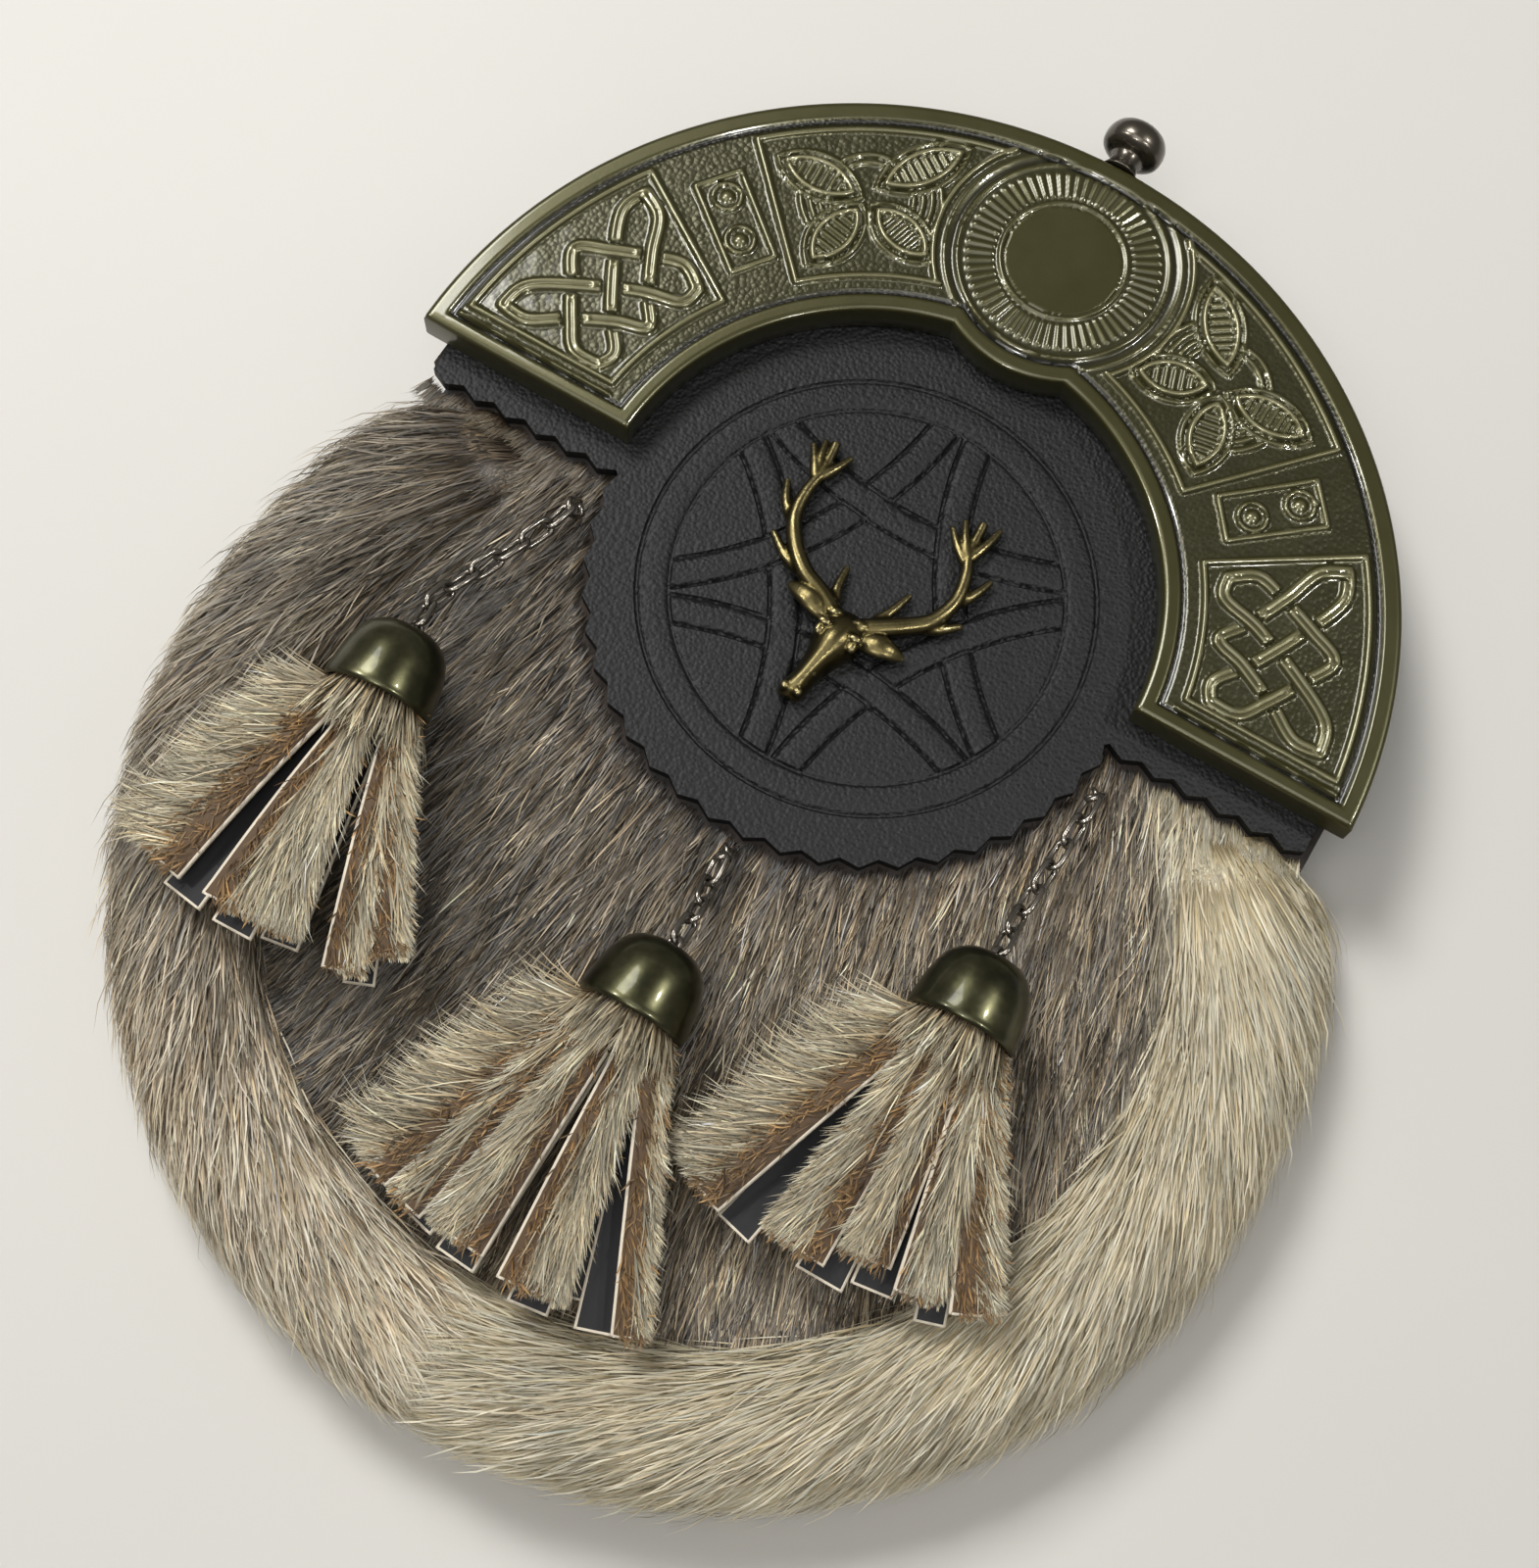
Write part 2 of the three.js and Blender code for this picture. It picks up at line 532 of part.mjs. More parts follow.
// Each antler is a beam and its tines, from root to tip.
const ANTLERS = [
  {
    part: "left beam",
    path: [[-2.5, -8.5], [-10, -4], [-15, 0], [-17.5, 7], [-17, 13], [-17.5, 19.5]],
    thick: 1.3,
  },
  { part: "left brow tine", path: [[-3.5, -7], [-4.8, -3], [-5, 1]], thick: 0.9 },
  { part: "left lower tine", path: [[-10, -4], [-15, -2.8], [-19, 0]], thick: 1 },
  { part: "left third tine", path: [[-16, 3], [-20, 6], [-21.5, 9.5]], thick: 0.9 },
  { part: "left outer crown tine", path: [[-17.2, 12], [-21, 17.5]], thick: 0.8 },
  { part: "left inner crown tine", path: [[-17.2, 12], [-14, 18.5]], thick: 0.8 },
  {
    part: "right beam",
    path: [[2, -8.5], [7, -5], [12, -1], [13.5, 7], [11.4, 13], [11, 19.5]],
    thick: 1.3,
  },
  { part: "right brow tine", path: [[3, -7], [5, -3], [6.5, 2]], thick: 0.9 },
  { part: "right lower tine", path: [[10, -2.5], [13.5, -1], [16.5, 1.5]], thick: 1 },
  { part: "right third tine", path: [[13.2, 4], [15.6, 7], [17, 11]], thick: 0.9 },
  { part: "right inner crown tine", path: [[11.8, 12], [8, 18.5]], thick: 0.8 },
  { part: "right outer crown tine", path: [[11.8, 12], [14, 20]], thick: 0.8 },
];
function stagHead() {
  const at = ([x, y], z) => V3(x, CANTLE.y + y, BADGE_Z + z);
  const head = skinned(
    HEAD_SECTIONS.map(({ y, x, half, rise }) =>
      range(0, Math.PI, 6).map((a) => at([x + half * Math.cos(a), y], rise * Math.sin(a))),
    ),
  );
  const ears = EARS.map(({ root, tip }) => lock(at(root, 1.5), at(tip, 1.2), V3(0, 0, 1), 3.4, 2.2));
  const antlers = ANTLERS.map(({ path, thick }) => {
    const radii = path.map((_, i) => thick * (1 - (0.6 * i) / (path.length - 1)));
    return bar(path.map((p, i) => at(p, radii[i] + 0.05)), radii, 4);
  });
  return join([head, ...ears, ...antlers]);
}
place("stag_head", stagHead(), BADGE_METAL);

// Chains: links with straight sides and round ends, from a pin behind the front panel to the tassel's eye
// Past each joint a link's wire reaches so far that the flat facets of two links bite into each other.
const LINK_REACH = (LINK.wire / 2) * Math.cos(Math.PI / LINK.sides) - LINK.bite / 2;
function chainLink(from, to, twist) {
  const along = to.clone().sub(from).normalize();
  const level = Math.abs(along.z) > 0.9 ? V3(1, 0, 0) : V3(0, 0, 1);
  const side = level.addScaledVector(along, -level.dot(along)).normalize().applyAxisAngle(along, twist);
  const normal = along.clone().cross(side);
  const middle = from.clone().lerp(to, 0.5);
  const halfStep = Math.PI / LINK.steps;
  const halfStraight = from.distanceTo(to) / 2 + LINK_REACH - LINK.halfWidth * Math.cos(halfStep);
  const wireR = LINK.wire / 2;
  const rings = range(halfStep, 2 * Math.PI + halfStep, LINK.steps).slice(0, -1).map((a) => {
    const out = along.clone().multiplyScalar(Math.cos(a)).addScaledVector(side, Math.sin(a));
    const end = Math.abs(Math.cos(a)) < 0.01 ? 0 : Math.sign(Math.cos(a));
    const centre = middle.clone().addScaledVector(along, halfStraight * end);
    centre.addScaledVector(out, LINK.halfWidth);
    return range(0, 2 * Math.PI, LINK.sides).slice(0, -1).map((b) => {
      const [outward, sideways] = [wireR * Math.cos(b), wireR * Math.sin(b)];
      return centre.clone().addScaledVector(out, outward).addScaledVector(normal, sideways);
    });
  });
  return { solid: skinned(rings, true), normal, along };
}

const PIN_DEPTH = 2.5; // the lowest joint of a chain, below the front panel's inner face
const CHAIN_IN_CUP = 3.6; // how far a chain reaches into its cup
const cupAxis = (lean) => V3(Math.sin(rad(lean)), -Math.cos(rad(lean)), 0);

function chainJoints({ hole: [x, y], apex, lean }) {
  const axis = cupAxis(lean);
  const top = V3(apex[0], apex[1], CUP.z);
  const away = V3(apex[0] - x, apex[1] - y, 0).normalize();
  const hole = V3(x, y, 0);
  const route = new THREE.CatmullRomCurve3([
    hole.clone().setZ(BAG.frontZ - PIN_DEPTH),
    hole.clone().setZ(FRONT_TOP + 1.5),
    hole.clone().addScaledVector(away, 2.6).setZ(FRONT_TOP + 5.4),
    hole.clone().addScaledVector(away, 7.5).setZ(FRONT_TOP + 5.8),
    top.clone().addScaledVector(axis, -8).setZ(CUP.z - 4),
    top.clone().addScaledVector(axis, -3).setZ(CUP.z - 1),
    top.clone().addScaledVector(axis, CHAIN_IN_CUP),
  ]);
  return route.getSpacedPoints(Math.round(route.getLength() / LINK.pitch));
}
const quarter = (i) => (i % 2 ? 1 : -1) * (Math.PI / 4);

function cup({ apex, lean }) {
  const outer = [V2(CUP.holeR, 0), V2(5, 0.6), V2(7.4, 2.8), V2(8.7, 6.5), V2(9.1, 11.6), V2(9.5, CUP.depth)];
  const inner = [V2(8.2, CUP.depth), V2(7.7, 8), V2(6.3, 3.8), V2(CUP.holeR, 1.3)];
  const geometry = new THREE.LatheGeometry([...outer, ...inner, outer[0]], CUP.sides);
  geometry.rotateX(Math.PI).rotateZ(rad(lean)).translate(apex[0], apex[1], CUP.z);
  return solidOf(geometry);
}

// Tassels: cut strips in two layers, fused to a head inside the cup, with an eye for the chain
const STRIP_FANS = [
  { deg: -16.5, upper: true },
  { deg: -5.5, upper: true },
  { deg: 5.5, upper: true },
  { deg: 16.5, upper: true },
  { deg: -20, upper: false },
  { deg: -11, upper: false },
  { deg: 11, upper: false },
  { deg: 20, upper: false },
];
const MOST_FAN = 20;
const LAYER = { rootRise: 2.6, tipRise: 2.2 }; // the upper strips above the lower ones

function strip({ deg, upper }, at, tipZ) {
  const rootZ = CUP.z + (upper ? LAYER.rootRise / 2 : -LAYER.rootRise / 2);
  const endZ = tipZ + (upper ? LAYER.tipRise : 0);
  const rootSide = (STRIP.spread * deg) / MOST_FAN;
  const rim = CUP.depth + 0.8 - STRIP.root;
  const sections = [0, rim, STRIP.length].map((down) => {
    const share = Math.max(down - rim, 0) / (STRIP.length - rim);
    const side = rootSide + Math.tan(rad(deg)) * STRIP.length * share * 0.92;
    const half = (STRIP.rootWidth + (STRIP.tipWidth - STRIP.rootWidth) * share) / 2;
    const z = rootZ + (endZ - rootZ) * share;
    const corners = [[-half, -1], [half, -1], [half, 1], [-half, 1]];
    return corners.map(([across, up]) => at(side + across, STRIP.root + down, z + (up * STRIP.thick) / 2));
  });
  return skinned(sections);
}

function tassel({ apex, lean, tipZ }, lastLink) {
  const axis = cupAxis(lean);
  const across = V3(-axis.y, axis.x, 0);
  const at = (side, down, z) =>
    V3(apex[0], apex[1], 0).addScaledVector(axis, down).addScaledVector(across, side).setZ(z);
  const ring = (down, r) =>
    range(0, 2 * Math.PI, 12).slice(0, -1).map((a) => at(r * Math.cos(a), down, CUP.z + r * Math.sin(a)));
  const { headFrom, headR } = CUP;
  const head = skinned([ring(headFrom, headR * 0.7), ring(headFrom + 1.5, headR), ring(14.5, headR)]);
  const eyeFrom = lastLink.end.clone().addScaledVector(lastLink.along, -LINK.wire / 2 - GAP);
  const eye = chainLink(eyeFrom, at(0, headFrom + 1.2, CUP.z), -lastLink.turn).solid;
  return join([head, eye, ...STRIP_FANS.map((fan) => strip(fan, at, tipZ))]);
}

for (const row of TASSELS) {
  const joints = chainJoints(row);
  const links = joints.slice(0, -1).map((joint, i) => chainLink(joint, joints[i + 1], quarter(i)));
  place("chain_" + row.side, join(links.map((link) => link.solid)), ANTIQUE_METAL);
  const pinRise = LINK.wire / 2 - LINK_REACH + PIN.r + GAP;
  const pinMiddle = joints[0].clone().addScaledVector(links[0].along, pinRise);
  const pinEnds = [-PIN.length / 2, PIN.length / 2].map((end) =>
    pinMiddle.clone().addScaledVector(links[0].normal, end),
  );
  place("chain_pin_" + row.side, bar(pinEnds, [PIN.r, PIN.r], 8), ANTIQUE_METAL);
  place("tassel_cup_" + row.side, cup(row), ANTIQUE_METAL);
  const lastLink = { end: joints.at(-1), along: links.at(-1).along, turn: quarter(links.length - 1) };
  place("tassel_" + row.side, tassel(row, lastLink), STRIP_FUR);
}

export default sporran;
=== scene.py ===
import math

import bmesh
import bpy
import numpy as np
from mathutils import Matrix, Vector
from mathutils.geometry import delaunay_2d_cdt
from mathutils.kdtree import KDTree


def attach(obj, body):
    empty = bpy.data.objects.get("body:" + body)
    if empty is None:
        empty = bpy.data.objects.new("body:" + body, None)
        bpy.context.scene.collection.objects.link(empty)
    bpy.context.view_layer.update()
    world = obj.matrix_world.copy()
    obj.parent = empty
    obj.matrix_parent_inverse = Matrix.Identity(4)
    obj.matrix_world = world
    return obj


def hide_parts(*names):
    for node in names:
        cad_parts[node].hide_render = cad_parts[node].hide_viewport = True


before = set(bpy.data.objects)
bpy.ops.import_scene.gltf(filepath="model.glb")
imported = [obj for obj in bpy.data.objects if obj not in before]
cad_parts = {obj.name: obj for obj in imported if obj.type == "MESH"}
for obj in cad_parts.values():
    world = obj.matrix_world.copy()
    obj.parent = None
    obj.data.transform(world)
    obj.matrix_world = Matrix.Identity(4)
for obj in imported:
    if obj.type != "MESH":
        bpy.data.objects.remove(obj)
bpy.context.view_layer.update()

# Camera
# A hand-held camera above the lower right of the pouch, which lies on its back on a table.
# Its place was worked out from the arcs of the cantle, for a frame of 1570 by 1600 pixels.
MM = 0.001  # sizes are in millimetres, and the scene is in metres
CAMERA = {"azimuth": 20.922, "elevation": 73.801, "roll": 9.34, "distance": 417.0}
CAMERA_TARGET = (0.7, -3.6, 2.0)
FRAME_HEIGHT = 1600
FOCAL_PIXELS = 2500


def aimed_camera():
    azimuth, elevation, roll = (math.radians(CAMERA[k]) for k in ("azimuth", "elevation", "roll"))
    flat = math.cos(elevation)
    back = Vector((math.sin(azimuth) * flat, -math.cos(azimuth) * flat, math.sin(elevation)))
    level = (-back).cross(Vector((0, 0, 1))).normalized()
    upright = level.cross(-back)
    right = math.cos(roll) * level + math.sin(roll) * upright
    up = math.cos(roll) * upright - math.sin(roll) * level
    place = Vector(CAMERA_TARGET) + CAMERA["distance"] * back
    lens = bpy.data.cameras.new("camera")
    lens.sensor_fit = "VERTICAL"
    lens.sensor_height = 36
    lens.lens = lens.sensor_height * FOCAL_PIXELS / FRAME_HEIGHT
    lens.clip_start = 0.01
    camera = bpy.data.objects.new("camera", lens)
    turn = Matrix((right, up, back)).transposed().to_4x4()
    camera.matrix_world = Matrix.Translation(place * MM) @ turn
    bpy.context.scene.collection.objects.link(camera)
    bpy.context.scene.camera = camera


aimed_camera()

# Bag
# A hollow bag of black leather at the back and fur-on hide at the front, with two hide gussets rolled
# round the edge between them. The panels are cut from flat skins and sewn along the gussets' lips.
BAG_X, BAG_Y = 3.5, -25.0
CANTLE_Y = 30.0
FRONT_TOP = 16.0
BELLY = {"x": 3.0, "y": -60.0, "r": 40.0, "rise": 1.2}
LEATHER_BLACK = (18, 18, 18)
HIDE_BROWN = (40, 31, 23)


def linear(colour):
    shares = np.asarray(colour, dtype=float) / 255
    return np.where(shares <= 0.04045, shares / 12.92, ((shares + 0.055) / 1.055) ** 2.4)


def rgba(colour):
    return (*linear(colour), 1.0)


def toned(colour, share):
    return tuple(c * share for c in colour)


def new_finish(name, **sockets):
    """A material, its nodes and its shader, with the sockets that are the same all over the piece."""
    material = bpy.data.materials.new(name)
    material.use_nodes = True
    tree = material.node_tree
    shader = tree.nodes["Principled BSDF"]
    for socket, value in sockets.items():
        shader.inputs[socket.replace("_", " ")].default_value = value
    return material, tree, shader


def add(tree, kind, inputs=None, **settings):
    node = tree.nodes.new("ShaderNode" + kind)
    for name, value in settings.items():
        setattr(node, name, value)
    for socket, value in (inputs or {}).items():
        if isinstance(value, bpy.types.NodeSocket):
            tree.links.new(value, node.inputs[socket])
        else:
            node.inputs[socket].default_value = value
    return node


def feed(tree, shader, **sockets):
    for name, output in sockets.items():
        tree.links.new(output, shader.inputs[name.replace("_", " ")])


def ramp(tree, share, stops):
    node = add(tree, "ValToRGB", {"Fac": share})
    bar = node.color_ramp.elements
    while len(bar) < len(stops):
        bar.new(0.5)
    for element, (at, colour) in zip(bar, stops):
        element.position = at
        element.color = rgba(colour)
    return node.outputs["Color"]


def levels(tree, share, low, high):
    return add(tree, "MapRange", {"Value": share, "To Min": low, "To Max": high}).outputs["Result"]


def noise(tree, scale, detail, roughness=0.5):
    """Cloudy patches from 0 to 1, which stay with the piece."""
    spot = add(tree, "TexCoord").outputs["Object"]
    inputs = {"Vector": spot, "Scale": scale, "Detail": detail, "Roughness": roughness}
    return add(tree, "TexNoise", inputs).outputs["Fac"]


def bumped(tree, height, strength, depth, under=None, invert=False):
    """Fine relief, with its depth in millimetres, on the plain surface or over other relief."""
    inputs = {"Height": height, "Strength": strength, "Distance": depth * MM}
    if under is not None:
        inputs["Normal"] = under
    return add(tree, "Bump", inputs, invert=invert).outputs["Normal"]


def leather(name, colour, grain, depth):
    """Pebble-grained leather: grain and depth in millimetres."""
    material, tree, shader = new_finish(name, Specular_IOR_Level=0.24)
    spot = add(tree, "TexCoord").outputs["Object"]
    cells = {"Vector": spot, "Scale": 1 / (grain * MM), "Smoothness": 0.6}
    pebble = add(tree, "TexVoronoi", cells, feature="SMOOTH_F1").outputs["Distance"]
    crease = noise(tree, 900.0, 5.0, 0.6)
    stops = [(0.3, toned(colour, 0.72)), (0.55, colour), (0.8, toned(colour, 1.3))]
    feed(tree, shader, Base_Color=ramp(tree, noise(tree, 55.0, 4.0), stops))
    feed(tree, shader, Roughness=levels(tree, crease, 0.4, 0.66))
    fine = bumped(tree, crease, 0.5, 0.14)
    feed(tree, shader, Normal=bumped(tree, pebble, 0.8, depth, fine, invert=True))
    return material


def raw_hide(name, colour):
    """Suede flesh side of a hide, with a short dull nap."""
    material, tree, shader = new_finish(name, Roughness=0.95)
    stops = [(0.3, toned(colour, 0.6)), (0.7, toned(colour, 1.35))]
    feed(tree, shader, Base_Color=ramp(tree, noise(tree, 70.0, 3.0), stops))
    feed(tree, shader, Normal=bumped(tree, noise(tree, 1400.0, 4.0), 0.6, 0.3))
    return material


def refinish(node, material, edge=0.0):
    """A CAD piece that stays: its finish, and a rounded edge in millimetres."""
    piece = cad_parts[node]
    for slot in piece.material_slots:
        slot.material = material
    if edge:
        rounding = piece.modifiers.new("rounded_edge", "BEVEL")
        rounding.width = edge * MM
        rounding.segments = 3
        rounding.limit_method = "ANGLE"
        rounding.angle_limit = math.radians(50)


back_leather = leather("back_leather", LEATHER_BLACK, 0.8, 0.1)
hide_inside = raw_hide("hide_inside", HIDE_BROWN)
refinish("back_panel", back_leather, 0.8)
for bag_wall in ("front_panel", "gusset_left", "gusset_right"):
    refinish(bag_wall, hide_inside)

# Targe
# The black leather shield on the front: a half disc behind the cantle, a strip under each of its ends and a
# round lobe. It is cut with pinking shears and embossed with rings and six interlaced bands.
TARGE = {"capR": 83.5, "lobeR": 47.5, "stripDrop": 4.2, "stripTeeth": 6, "lobeTeeth": 22, "tooth": 1.4}
TARGE_BOTTOM, TARGE_TOP = 16.3, 18.7
EMBOSS_Y = CANTLE_Y - 1.0
EMBOSS = {"reach": 45.6, "ring": 0.6, "step": 0.6, "ground": 0.22, "deepest": 0.7}
RING_GROOVES = (33.3, 38.6)
GROOVE = {"half": 0.5, "depth": 0.55, "clear": 0.78}
GROOVE_LINES = (-0.5, -0.2, 0.0, 0.2, 0.5)  # where points lie across a groove
BAND = {"count": 6, "reach": 33.0, "spread": 54.5, "middle": 13.8, "half": 2.5, "crown": 0.16, "turn": 28.0}
OUTLINE_STEP = 1.2
RIM_ROUND = 0.35
EMBOSSED_BLACK = (14, 14, 14)


def arc(x, y, r, start, end, steps):
    angles = np.radians(np.linspace(start, end, steps + 1))
    return np.stack([x + r * np.cos(angles), y + r * np.sin(angles)], 1)


def pinked(line, outward, tooth):
    """A run of teeth: every other point of the line stands out."""
    swing = np.where(np.arange(len(line)) % 2, 0.5, -0.5) * tooth
    return line + outward * swing[:, None]


def finer(line, step):
    """The same closed outline with points no further apart than step."""
    points = []
    for start, end in zip(line, np.roll(line, -1, axis=0)):
        count = max(1, int(np.ceil(np.linalg.norm(end - start) / step)))
        points += [start + (end - start) * i / count for i in range(count)]
    return np.array(points)


def targe_outline():
    strip_y = CANTLE_Y - TARGE["stripDrop"]
    lobe_deg = math.degrees(math.asin(-TARGE["stripDrop"] / TARGE["lobeR"]))
    lobe_x = TARGE["lobeR"] * math.cos(math.radians(lobe_deg))
    cap = arc(0, CANTLE_Y, TARGE["capR"], 180, 0, 60)
    shares = np.linspace(0, 1, 2 * TARGE["stripTeeth"] + 1)
    run = TARGE["capR"] + (lobe_x - TARGE["capR"]) * shares
    strip = np.stack([run, np.full_like(run, strip_y)], 1)
    lobe = arc(0, CANTLE_Y, TARGE["lobeR"], lobe_deg, -180 - lobe_deg, 2 * TARGE["lobeTeeth"])
    lobe_out = (lobe - (0, CANTLE_Y)) / TARGE["lobeR"]
    down = np.array([0.0, -1.0])
    right = pinked(strip, down, TARGE["tooth"])
    left = pinked(strip[::-1] * (-1, 1), down, TARGE["tooth"])
    return np.concatenate([cap, right, pinked(lobe, lobe_out, TARGE["tooth"]), left])


def groove(distance, half):
    return np.clip(1 - (distance / half) ** 2, 0, None)


def band_arcs():
    """Middle and radius of the arc that each embossed band follows."""
    chord = BAND["reach"] * math.sin(math.radians(BAND["spread"]))
    sag = BAND["reach"] * math.cos(math.radians(BAND["spread"])) - BAND["middle"]
    band_r = (chord**2 + sag**2) / (2 * sag)
    away = BAND["middle"] + band_r
    turns = np.radians(30 + 360 / BAND["count"] * np.arange(BAND["count"]))
    return [(away * math.cos(t), away * math.sin(t)) for t in turns], band_r


def groove_points():
    """Points along the grooves and their shoulders, so that the mesh follows them."""
    lines = []
    for ring in RING_GROOVES:
        lines += [arc(0, 0, ring + off, 0, 360, int(12 * ring)) for off in GROOVE_LINES]
    middles, band_r = band_arcs()
    for x, y in middles:
        inward = math.degrees(math.atan2(-y, -x))
        start, end = inward - BAND["turn"], inward + BAND["turn"]
        for side in (-1, 1):
            for off in GROOVE_LINES:
                lines.append(arc(x, y, band_r + side * BAND["half"] + off, start, end, 130))
    points = np.concatenate(lines)
    rings = np.hypot(points[:, 0], points[:, 1])
    on_ring = np.any(np.abs(rings[:, None] - RING_GROOVES) < GROOVE["half"] + 0.1, axis=1)
    keep = (rings < BAND["reach"]) | on_ring
    return points[keep] + (0, EMBOSS_Y)


def embossing(x, y):
    """How far the leather is pressed in, in millimetres."""
    y = y - EMBOSS_Y
    r = np.hypot(x, y)
    pressed = sum(GROOVE["depth"] * groove(r - ring, GROOVE["half"]) for ring in RING_GROOVES)
    middles, band_r = band_arcs()
    away = [np.hypot(x - mx, y - my) - band_r for mx, my in middles]
    inside = r < BAND["reach"]
    for k in range(BAND["count"]):
        edge = np.abs(np.abs(away[k]) - BAND["half"])
        hidden = np.abs(away[k - 1]) < BAND["half"] + 0.2
        pressed = pressed + np.where(inside & ~hidden, GROOVE["depth"] * groove(edge, GROOVE["half"]), 0)
    from_band = np.min(np.abs(away), axis=0)
    ground = np.where(inside & (from_band >= BAND["half"]), EMBOSS["ground"], 0)
    pressed = np.minimum(pressed, EMBOSS["deepest"]) + ground
    ring_middle, ring_half = np.mean(RING_GROOVES), np.ptp(RING_GROOVES) / 2
    crown = np.where(inside, groove(from_band, BAND["half"]), groove(r - ring_middle, ring_half))
    return pressed - BAND["crown"] * crown


def beside_groove(x, y):
    """Whether a point lies so near a groove that the groove's own points make the mesh there."""
    y = y - EMBOSS_Y
    r = np.hypot(x, y)
    middles, band_r = band_arcs()
    edges = [np.abs(np.abs(np.hypot(x - mx, y - my) - band_r) - BAND["half"]) for mx, my in middles]
    on_ring = np.min([np.abs(r - ring) for ring in RING_GROOVES], axis=0) < GROOVE["clear"]
    return on_ring | ((r < BAND["reach"]) & (np.min(edges, axis=0) < GROOVE["clear"]))


def new_piece(name, mesh, material, node):
    piece = bpy.data.objects.new(name, mesh)
    bpy.context.scene.collection.objects.link(piece)
    mesh.materials.append(material)
    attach(piece, "root")
    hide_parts(*node)


def embossed_targe():
    outline = finer(targe_outline(), OUTLINE_STEP)
    rings = [np.array([[0.0, EMBOSS_Y]])]
    for r in np.arange(EMBOSS["ring"], EMBOSS["reach"], EMBOSS["ring"]):
        rings.append(arc(0, EMBOSS_Y, r, 0, 360, max(6, int(2 * math.pi * r / EMBOSS["step"])))[:-1])
    rings = np.concatenate(rings)
    inner = np.concatenate([rings[~beside_groove(rings[:, 0], rings[:, 1])], groove_points()])
    inner = inner[np.hypot(inner[:, 0], inner[:, 1] - CANTLE_Y) < TARGE["lobeR"] - TARGE["tooth"]]
    points = np.concatenate([outline, inner])
    count = len(outline)
    edges = [(i, (i + 1) % count) for i in range(count)]
    flat, _, faces, *_ = delaunay_2d_cdt([Vector(p) for p in points], edges, [], 1, 1e-6)
    flat = np.array([tuple(p) for p in flat])
    top = TARGE_TOP - embossing(flat[:, 0], flat[:, 1])
    shape = bmesh.new()
    corners = [shape.verts.new((x * MM, y * MM, z * MM)) for (x, y), z in zip(flat, top)]
    for face in faces:
        shape.faces.new([corners[i] for i in face])
    rim = corners[:count]
    for drop in (RIM_ROUND, TARGE_TOP - TARGE_BOTTOM - RIM_ROUND):
        lowered = [shape.verts.new(corner.co - Vector((0, 0, drop * MM))) for corner in rim]
        for i, k in edges:
            shape.faces.new([rim[i], lowered[i], lowered[k], rim[k]])
        rim = lowered
    shape.faces.new(rim)
    bmesh.ops.recalc_face_normals(shape, faces=shape.faces)
    mesh = bpy.data.meshes.new("targe_leather")
    shape.to_mesh(mesh)
    shape.free()
    mesh.shade_smooth()
    mesh.set_sharp_from_angle(angle=math.radians(55))
    return mesh


targe_finish = leather("embossed_leather", EMBOSSED_BLACK, 0.7, 0.2)
new_piece("targe_leather", embossed_targe(), targe_finish, ["targe"])

# Front fur
# Grey-brown guard hair over a dark underfur, on the hide of the front. It grows down the bag and fans a
# little to both sides, in loose locks, and it is pressed flat under the chains and tassels.
FRONT_R = 75.0
FRONT_SEED = 11
FRONT_FIELD = ((-88, 94), (-101, 26))  # x and y of the hairs that are tried
FRONT_HAIRS = 44000
EDGE_HAIRS = 3500  # along the edge of the targe
EDGE_BAND = (0.1, 1.3)  # how far out of that edge they grow
FRONT_LENGTH = (9.0, 16.0)
FRONT_WIDTH = (0.2, 0.34)
FRONT_LIFT = 0.17
FRONT_BLEND = (69.0, 77.0)  # where the front's coat runs into those of the borders
FRONT_MIX = ((0.4, 0.28), (0.22, 0.16), (0.34, 0.28))  # spread, pale, dark: share, and its drop at the edge
FRONT_TONE_AND_PAINTED_SHADE = ((-60, -25, 5, 32, 60), (0.5, 0.64, 0.92, 1.25, 1.0))  # x, tone: darker on the left as painted shade of the left tassel's shadow, paler right of the middle
SHOULDER = 6.0  # how much further out the hair reaches beside the targe
EDGE_SHORT, RIM_SHORT = 0.5, 0.65  # shares of the length at the targe's edge and at the rolls
# painted shade on the hair that comes out from under the targe's edge
EDGE_PAINTED_SHADE = 0.75
HOLE_CLEAR = 2.4
TARGE_CLEAR = 0.1
PRESSED = {"length": 50.0, "top": 9.0, "spread": 16.0, "chain": 4.0, "flat": 0.45}
MOUTH_DEG = 29.6  # above this angle from the bag's middle the rolled borders sink
ROLL_END = 35.0  # and here they end, under the targe
ROLL = {"r": 84.0, "z": 10.7, "reach": 10.0, "rise": 9.3, "lip": 152.0, "foot": -62.0}
SUNK_END = {"degrees": 6.0, "share": 0.42}
HIDE_INNER, HIDE_OUTER = 0.4, 0.9  # the faces of the hide on the roll
HAIR_ROWS = (0.0, 0.32, 0.7, 1.0)  # where the cuts of a hair lie along it
HAIR_TAPER = (0.0, 1.0, 0.74, 0.0)  # its width there
HAIR_RISE = (0.45, 1.45)  # shares of a coat's lift
HAIR_ROLL = 0.8  # radians that a flat hair turns out of the skin
TABLE_CLEAR = 0.7
TASSEL_PLACES = {
    "left": {"hole": (-49.5, 18.0), "apex": (-58.4, -18.2), "lean": 5.0, "tipZ": 26.6},
    "centre": {"hole": (2.0, -21.2), "apex": (3.7, -41.7), "lean": 0.0, "tipZ": 25.0},
    "right": {"hole": (49.5, 18.0), "apex": (48.2, -17.7), "lean": 1.0, "tipZ": 26.0},
}
